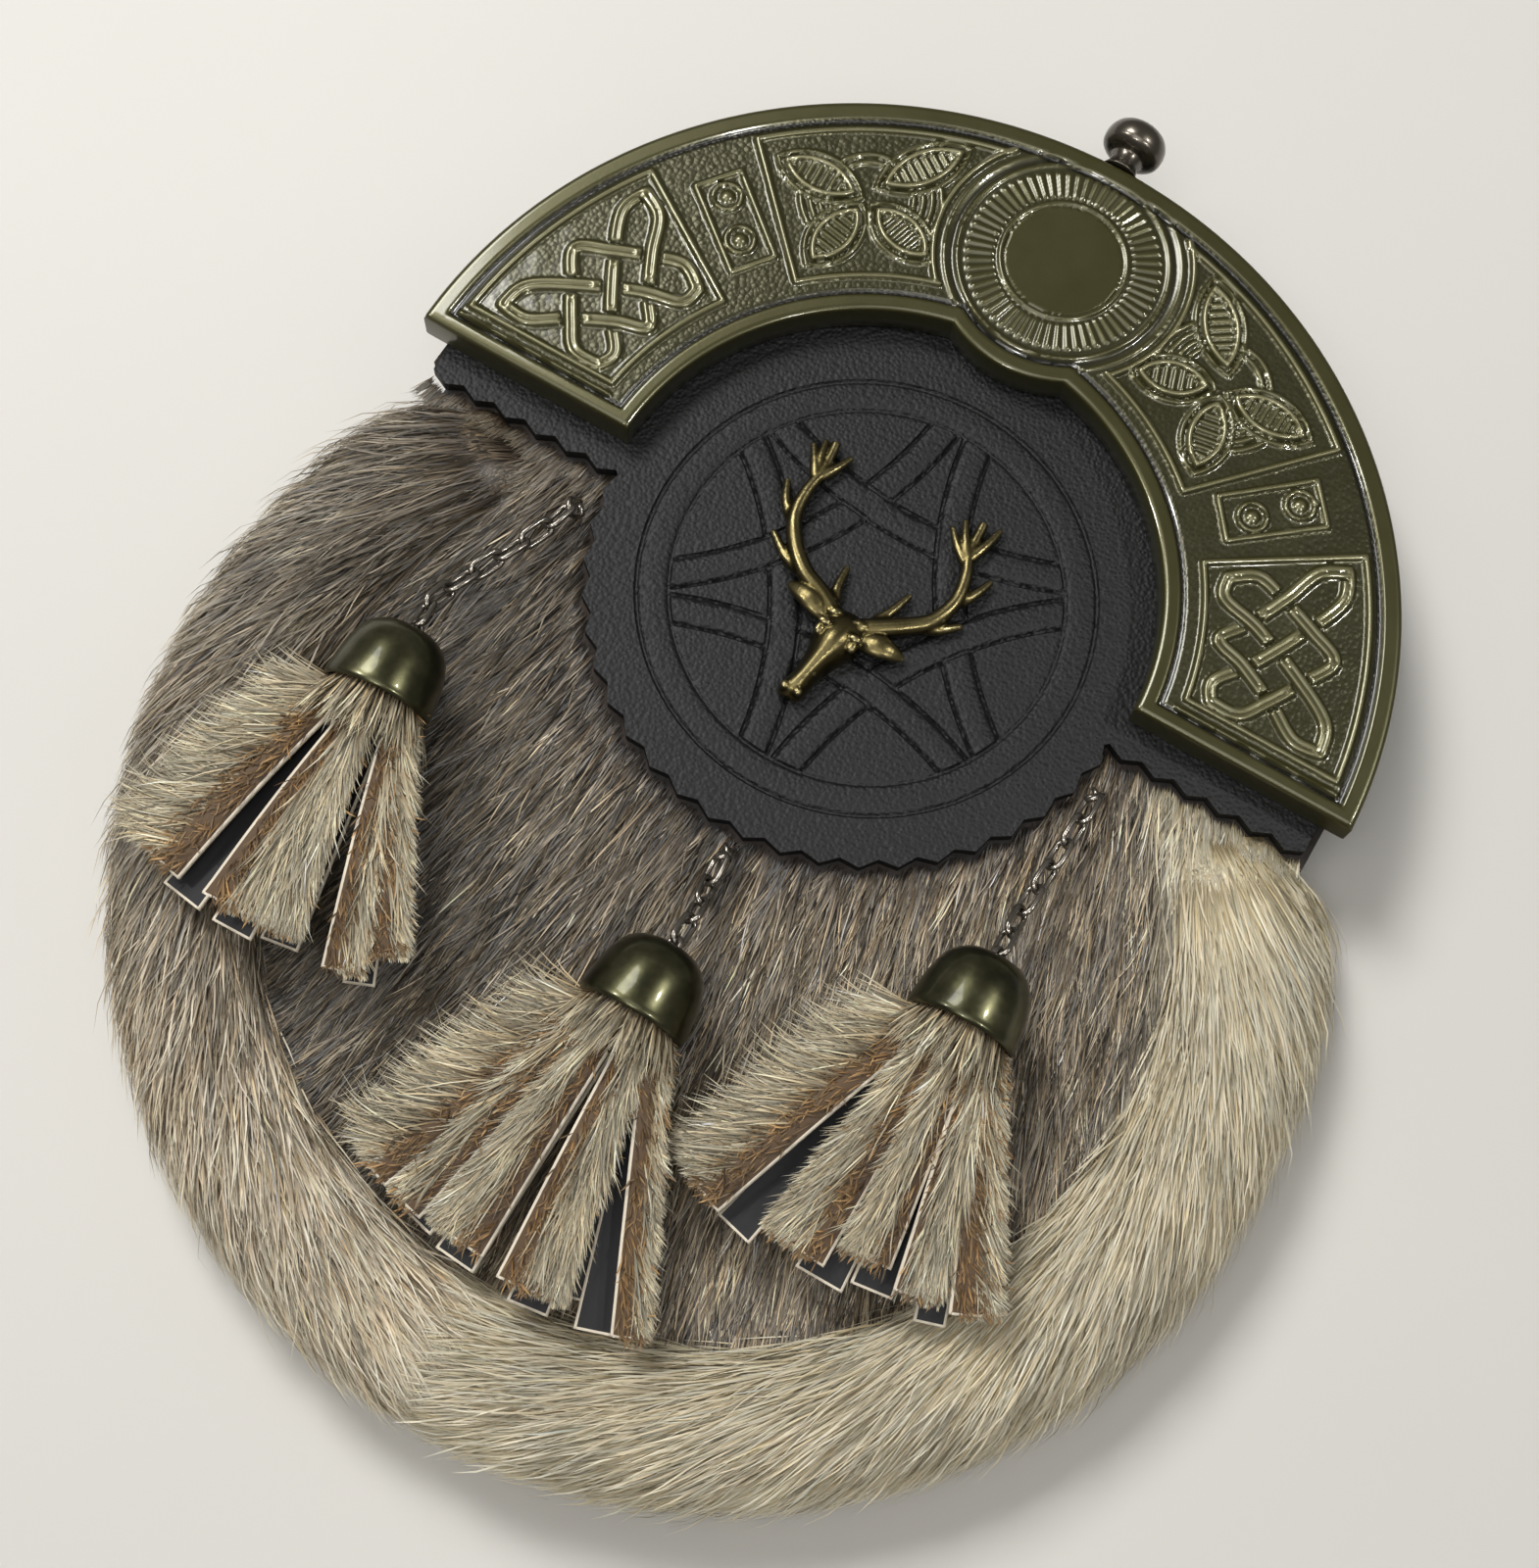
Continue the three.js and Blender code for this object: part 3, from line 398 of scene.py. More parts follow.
# A coat's colours are those of the root, the middle and the tip of a hair.
GREY_COAT = ((28, 22, 16), (94, 81, 64), (160, 146, 122))
TAN_COAT = ((52, 40, 28), (120, 105, 84), (176, 164, 142))
CREAM_COAT = ((150, 134, 100), (210, 197, 163), (236, 226, 200))


def unit(vectors):
    return vectors / np.maximum(np.linalg.norm(vectors, axis=-1, keepdims=True), 1e-9)


def locks_of(draw, root, hairs_in_lock):
    """The lock that each hair belongs to, and that lock's middle."""
    picks = draw.choice(len(root), max(1, len(root) // hairs_in_lock), replace=False)
    tree = KDTree(len(picks))
    for i, pick in enumerate(picks):
        tree.insert(root[pick], i)
    tree.balance()
    lock = np.array([tree.find(p)[1] for p in root])
    return lock, root[picks][lock]


def combed_hairs(draw, root, out, along, length, width, lift, bend=0.0, clump=0.6, hairs_in_lock=14,
                 curl=0.1):
    """Points of flat tapering hairs, which rise from the skin and bend over it, and the lock of each hair."""
    count = len(root)
    across = unit(np.cross(along, out))
    rise = lift * draw.uniform(*HAIR_RISE, count)
    swing = draw.normal(0, curl, count)
    roll = draw.uniform(-HAIR_ROLL, HAIR_ROLL, count)[:, None]
    flat = across * np.cos(roll) + out * np.sin(roll)
    lock, middle = locks_of(draw, root, hairs_in_lock)
    swing = swing + draw.normal(0, curl * 0.9, lock.max() + 1)[lock]
    pull = middle - root
    pull = (pull - out * np.sum(pull * out, 1)[:, None]) * clump
    rows = []
    for share, taper in zip(HAIR_ROWS, HAIR_TAPER):
        run = length * share
        turn = bend * run
        forward = run * np.sinc(turn / math.pi)
        drop = run * turn / 2 * np.sinc(turn / (2 * math.pi)) ** 2
        up = length * rise * (share - 0.62 * share**2) - drop
        p = root + along * forward[:, None] + out * up[:, None]
        p = p + across * (length * swing * share**2)[:, None] + pull * share**1.3
        half = flat * (width * taper / 2)[:, None]
        rows += [p - half, p + half] if taper else [p]
    points = np.stack(rows, 1)
    points[..., 2] = np.maximum(points[..., 2], TABLE_CLEAR)
    return points, lock


def coat_colours(draw, lock, coat, spread, pale, dark):
    """A colour for each point of each hair, with shares of pale and dark hairs among the rest."""
    count = len(lock)
    root, middle, tip = np.moveaxis(np.broadcast_to(coat, (count, 3, 3)), 1, 0)
    near_root, near_tip = 0.25 * root + 0.75 * middle, 0.4 * middle + 0.6 * tip
    rows = np.stack([root, near_root, near_root, near_tip, near_tip, tip], 1)
    tone = np.exp(spread * (draw.normal(0, 1, count) + draw.normal(0, 1, lock.max() + 1)[lock]))
    kind = draw.random(count)
    tone = np.where(kind < pale, tone * 1.75, np.where(kind > 1 - dark, tone * 0.4, tone))
    warm = 1 + draw.normal(0, 0.05, count)[:, None, None] * np.array([1.0, 0.2, -1.0])
    return np.clip(rows * tone[:, None, None] * warm, 0, 1)


def hair_faces(count):
    one = np.array([[0, 1, 2], [1, 3, 4], [1, 4, 2], [3, 5, 4]])
    return (one[None] + 6 * np.arange(count)[:, None, None]).reshape(-1, 3)


def triangle_mesh(name, points, faces, colours=None):
    mesh = bpy.data.meshes.new(name)
    mesh.vertices.add(len(points))
    mesh.vertices.foreach_set("co", (points * MM).astype(np.float32).ravel())
    mesh.loops.add(faces.size)
    mesh.loops.foreach_set("vertex_index", faces.astype(np.int32).ravel())
    mesh.polygons.add(len(faces))
    mesh.polygons.foreach_set("loop_start", np.arange(0, faces.size, 3, dtype=np.int32))
    mesh.update(calc_edges=True)
    if colours is not None:
        layer = mesh.color_attributes.new("coat", "FLOAT_COLOR", "POINT")
        full = np.concatenate([colours, np.ones((len(colours), 1))], 1)
        layer.data.foreach_set("color", full.astype(np.float32).ravel())
    mesh.shade_smooth()
    mesh.validate()
    return mesh


def fur_finish(name, gloss, shine):
    """Hair: its colour runs along each strand, with a dull sheen on the round of it."""
    material, tree, shader = new_finish(name, Roughness=gloss, Specular_IOR_Level=shine)
    dye = add(tree, "Attribute", attribute_name="coat").outputs["Color"]
    shade = levels(tree, noise(tree, 65.0, 3.0), 0.68, 1.32)
    mixed = add(tree, "VectorMath", {0: dye, 1: shade}, operation="MULTIPLY")
    feed(tree, shader, Base_Color=mixed.outputs["Vector"])
    return material


def fall(x):
    """The way that the front's hair lies: down the bag, and out to both sides."""
    return unit(np.stack([0.34 * np.tanh(x / 45), -np.ones_like(x), np.zeros_like(x)], -1))


def belly_rise(x, y):
    share = np.hypot(x - BELLY["x"], y - BELLY["y"]) / BELLY["r"]
    return np.where(share < 1, BELLY["rise"] * np.cos(np.clip(share, 0, 1) * math.pi / 2) ** 2, 0)


def bag_polar(x, y):
    """Distance and angle of points from the middle of the bag."""
    return np.hypot(x - BAG_X, y - BAG_Y), np.degrees(np.arctan2(y - BAG_Y, x - BAG_X))


def above_mouth_line(deg):
    return (deg > MOUTH_DEG) & (deg < 180 - MOUTH_DEG)


def side_angle(deg):
    """An angle round the bag as the angle above its middle, the same on both sides."""
    return np.degrees(np.arcsin(np.sin(np.radians(deg))))


def eased(share):
    return share * share * (3 - 2 * share)


def roll_sink(deg):
    """The share of its full height that the roll has left, as it ends under the targe."""
    beyond = np.clip((side_angle(deg) - MOUTH_DEG) / SUNK_END["degrees"], 0, 1)
    return 1 - SUNK_END["share"] * eased(beyond)


def roll_crest(x, y):
    """Height of the rolled borders' upper face, which hair lies on; 0 beside them."""
    r, deg = bag_polar(x, y)
    inside = 1 - ((r - ROLL["r"]) / (ROLL["reach"] + HIDE_OUTER)) ** 2
    crest = ROLL["z"] + (ROLL["rise"] + HIDE_OUTER) * roll_sink(deg) * np.sqrt(np.maximum(inside, 0))
    return np.where((inside > 0) & (side_angle(deg) < ROLL_END), crest, 0)


def beside_line(x, y, start, end):
    """Distance of each point from a straight line between two points."""
    step = np.subtract(end, start)
    share = np.clip(((x - start[0]) * step[0] + (y - start[1]) * step[1]) / (step @ step), 0, 1)
    return np.hypot(x - start[0] - share * step[0], y - start[1] - share * step[1])


def pressed_hair(x, y):
    """1 where the hair is free, less where a chain or a tassel lies on it."""
    free = np.ones_like(x)
    for place in TASSEL_PLACES.values():
        (ax, ay), hole = place["apex"], place["hole"]
        tip = (ax + 0.8 * place["lean"], ay - PRESSED["length"])
        half = PRESSED["top"] + PRESSED["spread"] * np.clip((ay - y) / PRESSED["length"], 0, 1)
        under = np.clip((half - beside_line(x, y, (ax, ay), tip)) / 6, 0, 1)
        beside_chain = np.clip((PRESSED["chain"] - beside_line(x, y, hole, (ax, ay))) / 2, 0, 1)
        free = np.minimum(free, 1 - PRESSED["flat"] * np.maximum(under, beside_chain))
    return free


def clear_of_targe(x, y):
    strip_y = CANTLE_Y - TARGE["stripDrop"] - TARGE["tooth"] / 2 - TARGE_CLEAR
    tooth_r = TARGE["lobeR"] + TARGE["tooth"] / 2 + TARGE_CLEAR
    return (np.hypot(x, y - CANTLE_Y) > tooth_r) & (y < strip_y)


def targe_edge(draw, count):
    """Spots just outside the toothed edge of the targe, where the hair comes out from under it."""
    line = finer(targe_outline(), 0.3)
    line = line[line[:, 1] < CANTLE_Y - 3]
    spots = line[draw.integers(0, len(line), count)]
    from_middle = spots - (0, CANTLE_Y)
    on_strip = np.hypot(from_middle[:, 0], from_middle[:, 1]) > TARGE["lobeR"] + 1
    away = unit(np.where(on_strip[:, None], np.array([0.0, -1.0]), from_middle))
    return spots + away * draw.uniform(*EDGE_BAND, (count, 1))


def border_share(r):
    """How far the front's coat has run into that of the borders."""
    start, end = FRONT_BLEND
    return eased(np.clip((r - start) / (end - start), 0, 1))


def front_coat(x, r):
    """Grey in the middle of the front, running into the colours of the borders at its edge, with painted
    shade on its left where the left tassel's shadow falls.
    """
    share = border_share(r)[:, None, None]
    border = np.where((x > BAG_X)[:, None, None], 0.8 * linear(CREAM_COAT), 0.7 * linear(TAN_COAT))
    # painted shade: the coat is darkened on the left, where the left tassel's shadow falls
    light = np.interp(x, *FRONT_TONE_AND_PAINTED_SHADE)[:, None, None]
    return linear(GREY_COAT) * light * (1 - share) + border * share


def front_fur():
    draw = np.random.default_rng(FRONT_SEED)
    x, y = (draw.uniform(*span, FRONT_HAIRS * 4) for span in FRONT_FIELD)
    r, deg = bag_polar(x, y)
    shoulder = above_mouth_line(deg) & (r < FRONT_R + SHOULDER)
    holes = [place["hole"] for place in TASSEL_PLACES.values()]
    from_hole = np.min([np.hypot(x - hx, y - hy) for hx, hy in holes], axis=0)
    on_front = ((r < FRONT_R) | shoulder) & clear_of_targe(x, y) & (from_hole > HOLE_CLEAR)
    keep = np.nonzero(on_front)[0][:FRONT_HAIRS]
    edge = targe_edge(draw, EDGE_HAIRS)
    x, y = np.concatenate([x[keep], edge[:, 0]]), np.concatenate([y[keep], edge[:, 1]])
    r = bag_polar(x, y)[0]
    count = len(x)
    root = np.stack([x, y, FRONT_TOP + 0.1 + belly_rise(x, y)], 1)
    out = np.tile([0.0, 0.0, 1.0], (count, 1))
    along = unit(fall(x) + np.stack([draw.normal(0, 0.1, count), np.zeros(count), np.zeros(count)], 1))
    lift = FRONT_LIFT * pressed_hair(x, y)
    length = draw.uniform(*FRONT_LENGTH, count)
    length[-EDGE_HAIRS:] *= EDGE_SHORT
    length[r > FRONT_R - 2] *= RIM_SHORT
    width = draw.uniform(*FRONT_WIDTH, count)
    points, lock = combed_hairs(draw, root, out, along, length, width, lift,
                                clump=0.5, hairs_in_lock=10, curl=0.07)
    points[..., 2] = np.maximum(points[..., 2], roll_crest(points[..., 0], points[..., 1]) + 0.3)
    spread, pale, dark = (most - less * border_share(r) for most, less in FRONT_MIX)
    colours = coat_colours(draw, lock, front_coat(x, r), spread, pale, dark)
    # painted shade: the hair along the targe's edge is darkened
    colours[-EDGE_HAIRS:] *= EDGE_PAINTED_SHADE
    return triangle_mesh("front_fur_hair", points.reshape(-1, 3), hair_faces(count), colours.reshape(-1, 3))


hair_finish = fur_finish("hair", 0.42, 0.36)
new_piece("front_fur_hair", front_fur(), hair_finish, ["front_fur"])

# Border furs
# Two rolled borders round the bag, tan-grey on the left and cream on the right, sewn together at the bottom.
# The hair runs along each roll from the targe to the seam and stands out past its edge.
BORDER_HAIRS = 35000
BORDER_LENGTH = (11.0, 18.0)
BORDER_WIDTH = (0.22, 0.38)
BORDER_FOOT = -38.0  # degrees round the roll's section, the lowest hair
BORDER_LIFT, EDGE_LIFT = 0.17, 0.2  # on top of the roll, and how much more at its edge
WAY_SPREAD = 0.09
OVER_ROLL = 0.085  # bend of a hair that lies straight over the roll, for each millimetre
PALEST = (236, 227, 204)
# edge: a tone for the hair on the roll's outer face and underside, partly a paler fringe and partly painted
# light where the lamps leave that side in shade
BORDERS = {
    "left": {"from": -90.1, "to": -180 - ROLL_END, "seed": 21, "slot": "grey_fur", "coat": TAN_COAT,
             "spread": 0.24, "odd": (0.14, 0.13), "clump": 0.5, "curl": 0.08, "edge": 1.7},
    "right": {"from": ROLL_END, "to": -89.9, "seed": 22, "slot": "cream_fur", "coat": CREAM_COAT,
              "spread": 0.05, "odd": (0.035, 0.03), "clump": 0.2, "curl": 0.05, "edge": 1.4},
}
TAN_LIGHT = ((-210, -180, -150, -118, -90), (0.68, 0.8, 1.05, 2.5, 2.9))  # angle, tone: palest at the seam
STAND = ((20, 70, 125), (0.0, 0.26, 0.34))  # degrees from the seam, how far the edge's hair stands out
SKIN_STEPS, SKIN_AROUND = 91, 25


def on_roll(deg, section, grow):
    """Points of the roll, and the way out of it, at an angle round the bag and round the roll's section."""
    a, s = np.radians(deg), np.radians(section)
    r = ROLL["r"] + (ROLL["reach"] + grow) * np.cos(s)
    z = ROLL["z"] + (ROLL["rise"] + grow) * np.sin(s) * np.where(np.sin(s) > 0, roll_sink(deg), 1)
    point = np.stack([BAG_X + r * np.cos(a), BAG_Y + r * np.sin(a), z], -1)
    out = np.stack([np.cos(s) * np.cos(a), np.cos(s) * np.sin(a), np.sin(s)], -1)
    return point, unit(out)


def tube_faces(steps, around):
    """Triangles round a row of equal rings, with a cap at each end."""
    i, k = np.meshgrid(np.arange(steps - 1), np.arange(around), indexing="ij")
    a, b = i * around + k, i * around + (k + 1) % around
    wall = [np.stack(t, -1).reshape(-1, 3) for t in ((a, b, b + around), (a, b + around, a + around))]
    cap = np.array([(0, k + 1, k) for k in range(1, around - 1)])
    return np.concatenate(wall + [cap, cap[:, ::-1] + (steps - 1) * around])


def roll_skin(start, end, colour):
    """The hide of the roll under the hair: a thin closed band, with its colours."""
    sections = np.linspace(ROLL["lip"], ROLL["foot"], SKIN_AROUND)
    sections = np.concatenate([sections, sections[::-1]])
    around = len(sections)
    grow = np.repeat([HIDE_OUTER, HIDE_INNER], SKIN_AROUND)
    angles = np.linspace(start, end, SKIN_STEPS)
    points = np.concatenate([on_roll(np.full(around, deg), sections, grow)[0] for deg in angles])
    return points, tube_faces(SKIN_STEPS, around), np.tile(linear(colour), (len(points), 1))


def border_fur(side):
    border = BORDERS[side]
    draw = np.random.default_rng(border["seed"])
    deg = draw.uniform(border["to"], border["from"], BORDER_HAIRS)
    section = draw.uniform(BORDER_FOOT, ROLL["lip"] - 4, BORDER_HAIRS)
    root, out = on_roll(deg, section, np.full(BORDER_HAIRS, HIDE_OUTER))
    seen = clear_of_targe(root[:, 0], root[:, 1])
    root, out, deg, section = root[seen], out[seen], deg[seen], section[seen]
    count = len(root)
    a, s = np.radians(deg), np.radians(section)
    to_seam = np.stack([-np.sin(a), np.cos(a), np.zeros(count)], 1) * (1 if side == "left" else -1)
    over = np.stack([np.sin(s) * np.cos(a), np.sin(s) * np.sin(a), -np.cos(s)], 1)
    radial = np.stack([np.cos(a), np.sin(a), np.zeros(count)], 1)
    facing_out = np.clip(np.cos(s), 0, 1)
    outward = np.clip(0.28 + 0.3 * np.cos(s), 0.1, 0.6)[:, None]
    stand = (np.interp(np.abs(deg + 90), *STAND) * facing_out)[:, None]
    way = unit(to_seam + outward * over + stand * radial + draw.normal(0, WAY_SPREAD, (count, 3)))
    bend = OVER_ROLL * np.sum(way * over, 1) ** 2
    lift = BORDER_LIFT + EDGE_LIFT * facing_out
    lift = lift * np.where(s > 0.7, pressed_hair(root[:, 0], root[:, 1]), 1)
    upper = np.clip((root[:, 1] + 10) / 30, 0, 1)
    length = draw.uniform(*BORDER_LENGTH, count) * (1 + 0.2 * upper)
    length = np.minimum(length, np.abs(a + math.pi / 2) * ROLL["r"] + draw.uniform(2.0, 6.0, count))
    width = draw.uniform(*BORDER_WIDTH, count)
    points, lock = combed_hairs(draw, root, out, way, length, width, lift, bend,
                                clump=border["clump"], hairs_in_lock=11, curl=border["curl"])
    lowest = roll_crest(points[..., 0], points[..., 1]) + 0.25
    sunk = (points[..., 2] > ROLL["z"]) & (points[..., 2] < lowest)
    points[..., 2] = np.where(sunk, lowest, points[..., 2])
    colours = coat_colours(draw, lock, linear(border["coat"]), border["spread"], *border["odd"])
    # painted light, partly a paler fringe: hair low on the roll's section, which the lamps leave in shade, is
    # made paler
    light = np.interp(section, (-10, 50), (border["edge"], 1.0))
    if side == "left":
        light = light * np.interp(deg, *TAN_LIGHT)
    colours = np.minimum(colours * light[:, None, None], linear(PALEST))
    skin, skin_faces, skin_colours = roll_skin(border["from"], border["to"], border["coat"][0])
    points = np.concatenate([points.reshape(-1, 3), skin])
    faces = np.concatenate([hair_faces(count), skin_faces + 6 * count])
    colours = np.concatenate([colours.reshape(-1, 3), skin_colours])
    return triangle_mesh("border_hair_" + side, points, faces, colours)


for side, border in BORDERS.items():
    new_piece("border_hair_" + side, border_fur(side), hair_finish, ["border_fur_" + side])

# Cantle
# A half moon cast in metal and finished in dark olive, with a skirt round its edge. Its sunk, stippled field
# carries framed panels of knotwork, leaves and ringed bosses, and a ribbed medallion with a bare disc.
CANTLE = {"outerR": 88.0, "innerR": 48.0, "end": 1.5, "bottom": 19.0, "field": 25.1, "skirt": 2.0,
          "under": 22.6, "wall": 22.0, "chamfer": 0.3}
MEDALLION_Y, LOBE_R = 67.0, 23.0  # y in this section is measured from the middle of the cantle's arcs
EDGE = ((0.0, 0.95), (0.12, 0.45), (0.4, 0.13), (0.95, 0.0))  # rounding: distance from the edge, drop
FIELD_ROWS, FIELD_COLUMNS = 118, 680
FIELD_INSET, FIELD_END = 1.25, 0.0076  # from the long edges, and from the ends as a share of the turn
PUNCH = 0.9  # size of the stipple's punch marks
OLIVE = ((24, 22, 9), (64, 61, 21), (122, 118, 84))  # in the recesses, on the body, and where it is worn on what stands up, paler there as a painted highlight


def ridge(distance, half, height):
    return height * groove(distance, half)


def nearest_on(x, y, line):
    """Distance from each point to a line of points, and whether the nearest spot lies between its ends."""
    best = np.full(x.shape, 1e9)
    between = np.zeros(x.shape, bool)
    last = len(line) - 2
    for i, (start, end) in enumerate(zip(line, line[1:])):
        step = end - start
        share = ((x - start[0]) * step[0] + (y - start[1]) * step[1]) / (step @ step)
        held = np.clip(share, 0, 1)
        away = np.hypot(x - start[0] - held * step[0], y - start[1] - held * step[1])
        closer = away < best
        past = ((i == 0) & (share < 0)) | ((i == last) & (share > 1))
        best = np.where(closer, away, best)
        between = np.where(closer, ~past, between)
    return best, between


def near(x, y, line, margin):
    low, high = line.min(0) - margin, line.max(0) + margin
    return np.nonzero((x > low[0]) & (x < high[0]) & (y > low[1]) & (y < high[1]))[0]


def curve_between(p0, p1, p2, p3, steps):
    """Points from p1 up to p2 on a smooth curve that comes from p0 and goes on to p3."""
    square, cube = 2 * p0 - 5 * p1 + 4 * p2 - p3, 3 * p1 - p0 - 3 * p2 + p3
    shares = np.arange(steps) / steps
    return [0.5 * (2 * p1 + (p2 - p0) * t + square * t**2 + cube * t**3) for t in shares]


def looped(points, steps=14):
    """A closed smooth curve through points; a point that is given twice makes a sharp corner."""
    count = len(points)
    line = []
    for i in range(count):
        p0, p1, p2, p3 = (points[(i + k) % count] for k in (-1, 0, 1, 2))
        if not np.allclose(p1, p2):
            line += curve_between(p0, p1, p2, p3, steps)
    return np.array(line)


def crossings(line):
    """Places along a closed line at which it crosses itself, two for each crossing, in order."""
    step = np.roll(line, -1, axis=0) - line
    cross = step[:, None, 0] * step[None, :, 1] - step[:, None, 1] * step[None, :, 0]
    cross = np.where(np.abs(cross) < 1e-12, np.nan, cross)
    gap = line[None] - line[:, None]
    along = (gap[..., 0] * step[None, :, 1] - gap[..., 1] * step[None, :, 0]) / cross
    other = (gap[..., 0] * step[:, None, 1] - gap[..., 1] * step[:, None, 0]) / cross
    hit = (along > 0) & (along < 1) & (other > 0) & (other < 1)
    pairs = [(a + along[a, b], b + other[a, b]) for a, b in zip(*np.nonzero(np.triu(hit, 1)))]
    return sorted(place for pair in pairs for place in pair)


def interlaced(line):
    """The line cut into runs, which pass over and under in turn, each at its one crossing."""
    places = crossings(line)
    count = len(line)
    runs = []
    for k, place in enumerate(places):
        before, after = places[k - 1], places[(k + 1) % len(places)]
        start = place - ((place - before) % count) / 2
        stop = place + ((after - place) % count) / 2
        spots = np.linspace(start, stop, 26) % count
        low = np.floor(spots).astype(int) % count
        share = (spots - np.floor(spots))[:, None]
        runs.append((line[low] * (1 - share) + line[(low + 1) % count] * share, k % 2 == 0))
    return runs


def strand(share):
    """Section of a knot's strand, a double ridge: height against the share of its half width."""
    return np.sin(math.pi * (0.2 + 0.8 * np.clip(share, 0, 1) ** 1.2))


def knot_relief(x, y, runs, half, height):
    raised = np.zeros_like(x)
    for above in (False, True):
        for line, over in runs:
            if over != above:
                continue
            spots = near(x, y, line, half + 0.5)
            away, between = nearest_on(x[spots], y[spots], line)
            if over:
                raised[spots] = np.where(between & (away < half + 0.4), -0.1, raised[spots])
            body = np.maximum(raised[spots], height * strand(away / half))
            raised[spots] = np.where(away < half, body, raised[spots])
    return raised


KNOT = {"half": 1.35, "height": 0.8}
KNOT_CELLS = (2, 3)
KNOT_CORNERS = ((58.2, 8.9), (77.6, 10.2), (50.9, 29.6), (67.8, 40.8))  # inner and outer: foot, then top


def plait_loop():
    """One strand that bounces between the sides of a panel, with points in its corners."""
    across, along = KNOT_CELLS
    at, step = np.array([0.5, 0.0]), np.array([1.0, 1.0])
    size = np.array([across, along], float)
    stops = []
    for _ in range(2 * (across + along)):
        stops.append(at)
        room = np.where(step > 0, size - at, at)
        at = at + step * room.min()
        step = np.where((at < 1e-6) | (at > size - 1e-6), -step, step)
    spots = []
    for here, after in zip(stops, stops[1:] + stops[:1]):
        spots.append(here)
        if np.abs(after - here).max() < 0.6:
            corner = np.where(np.minimum(here, after) < 1e-6, 0.0, size)
            spots += [corner, corner]
        else:
            spots += [here * 0.7 + after * 0.3, here * 0.3 + after * 0.7]
    p, q = (np.array(spots) / size).T[:, :, None]
    foot_in, foot_out, top_in, top_out = (np.array(c) for c in KNOT_CORNERS)
    return (1 - q) * ((1 - p) * foot_in + p * foot_out) + q * ((1 - p) * top_in + p * top_out)


LEAF_MIDDLE = (34.5, 60.3)
LEAVES = (  # root and tip of each leaf
    ((33.6, 63.4), (24.6, 76.4)),
    ((36.8, 59.4), (50.8, 58.9)),
    ((35.0, 57.2), (37.2, 44.4)),
    ((32.4, 58.8), (20.4, 55.2)),
)
LEAF_HALF = 3.3
LEAF_ARCS = (  # arcs about the leaves' middle: from and to in degrees, radii
    (24, 96, (6.6, 8.1)),
    (140, 184, (7.6, 9.2, 10.8, 12.4)),
    (292, 340, (7.2, 8.8, 10.4, 12.0)),
)
END_FRAME = {"inner": 55.0, "outer": 82.4, "foot": 7.2, "top": 33.0}
PAIR_FRAME = ((56.0, 53.0), (61.2, 46.4), (47.7, 35.4), (42.8, 41.8))
RING_BOSSES = ((55.5, 47.4), (49.5, 41.4))
LEAF_FRAME_FOOT = 46.6  # degrees, the side of the leaf panel
PANEL_LINE, BASE_LINE, PAIR_LINE = (0.7, 0.8), (0.55, 0.55), (0.65, 0.75)  # half width and height of a frame
RIBS = {"count": 60, "height": 0.42, "inner": 11.8, "outer": 17.2}
MEDAL_RIDGES = ((11.0, 0.55, 0.55), (18.4, 0.45, 0.45), (20.6, 0.4, 0.35))  # radius, half width, height
MEDAL_GROOVE = (19.4, 0.4, 0.2)
MEDAL_DISC = {"r": 10.3, "height": 0.22}
RIM = {"outer": 3.3, "inner": 2.9, "end": 2.5, "height": 0.34}  # the plain border: its widths and its height


def panel_lines():
    """Frames of the right half's panels, each a line with its half width and height."""
    top, inner, outer, foot = END_FRAME["top"], END_FRAME["inner"], END_FRAME["outer"], END_FRAME["foot"]
    low = math.degrees(math.asin(foot / outer))
    inner_low = math.degrees(math.asin(foot / inner))
    end_side = arc(0, 0, outer, low, top, 30)
    end_top = arc(0, 0, outer, top, top, 1)[:1]
    end_inner = arc(0, 0, inner, top, inner_low, 24)
    end_panel = np.concatenate([end_side, end_top, end_inner, end_side[:1]])
    base = np.array([[54.0, foot - 2.0], [83.0, foot - 2.0]])
    leaf_outer = arc(0, 0, outer, LEAF_FRAME_FOOT, 78.2, 36)
    hollow = arc(0, MEDALLION_Y, LOBE_R - 0.4, 40.5, -42.0, 30)
    leaf_inner = arc(0, 0, inner - 0.6, 73.4, LEAF_FRAME_FOOT, 26)
    leaf_panel = np.concatenate([leaf_outer, hollow, leaf_inner, leaf_outer[:1]])
    pair = np.array(PAIR_FRAME + PAIR_FRAME[:1])
    framed = ((end_panel, PANEL_LINE), (base, BASE_LINE), (leaf_panel, PANEL_LINE), (pair, PAIR_LINE))
    return [(line, half, height) for line, (half, height) in framed]


def speckle(x, y, cell, seed):
    """Smooth random pebbles between 0 and 1, a cell across."""
    draw = np.random.default_rng(seed)
    lattice = draw.random((256, 256))
    u, v = x / cell + 1000, y / cell + 1000
    i, j = np.floor(u).astype(int), np.floor(v).astype(int)
    p, q = eased(u - i), eased(v - j)

    def pick(a, b):
        return lattice[(i + a) % 256, (j + b) % 256]

    low = pick(0, 0) * (1 - p) + pick(1, 0) * p
    high = pick(0, 1) * (1 - p) + pick(1, 1) * p
    return low * (1 - q) + high * q


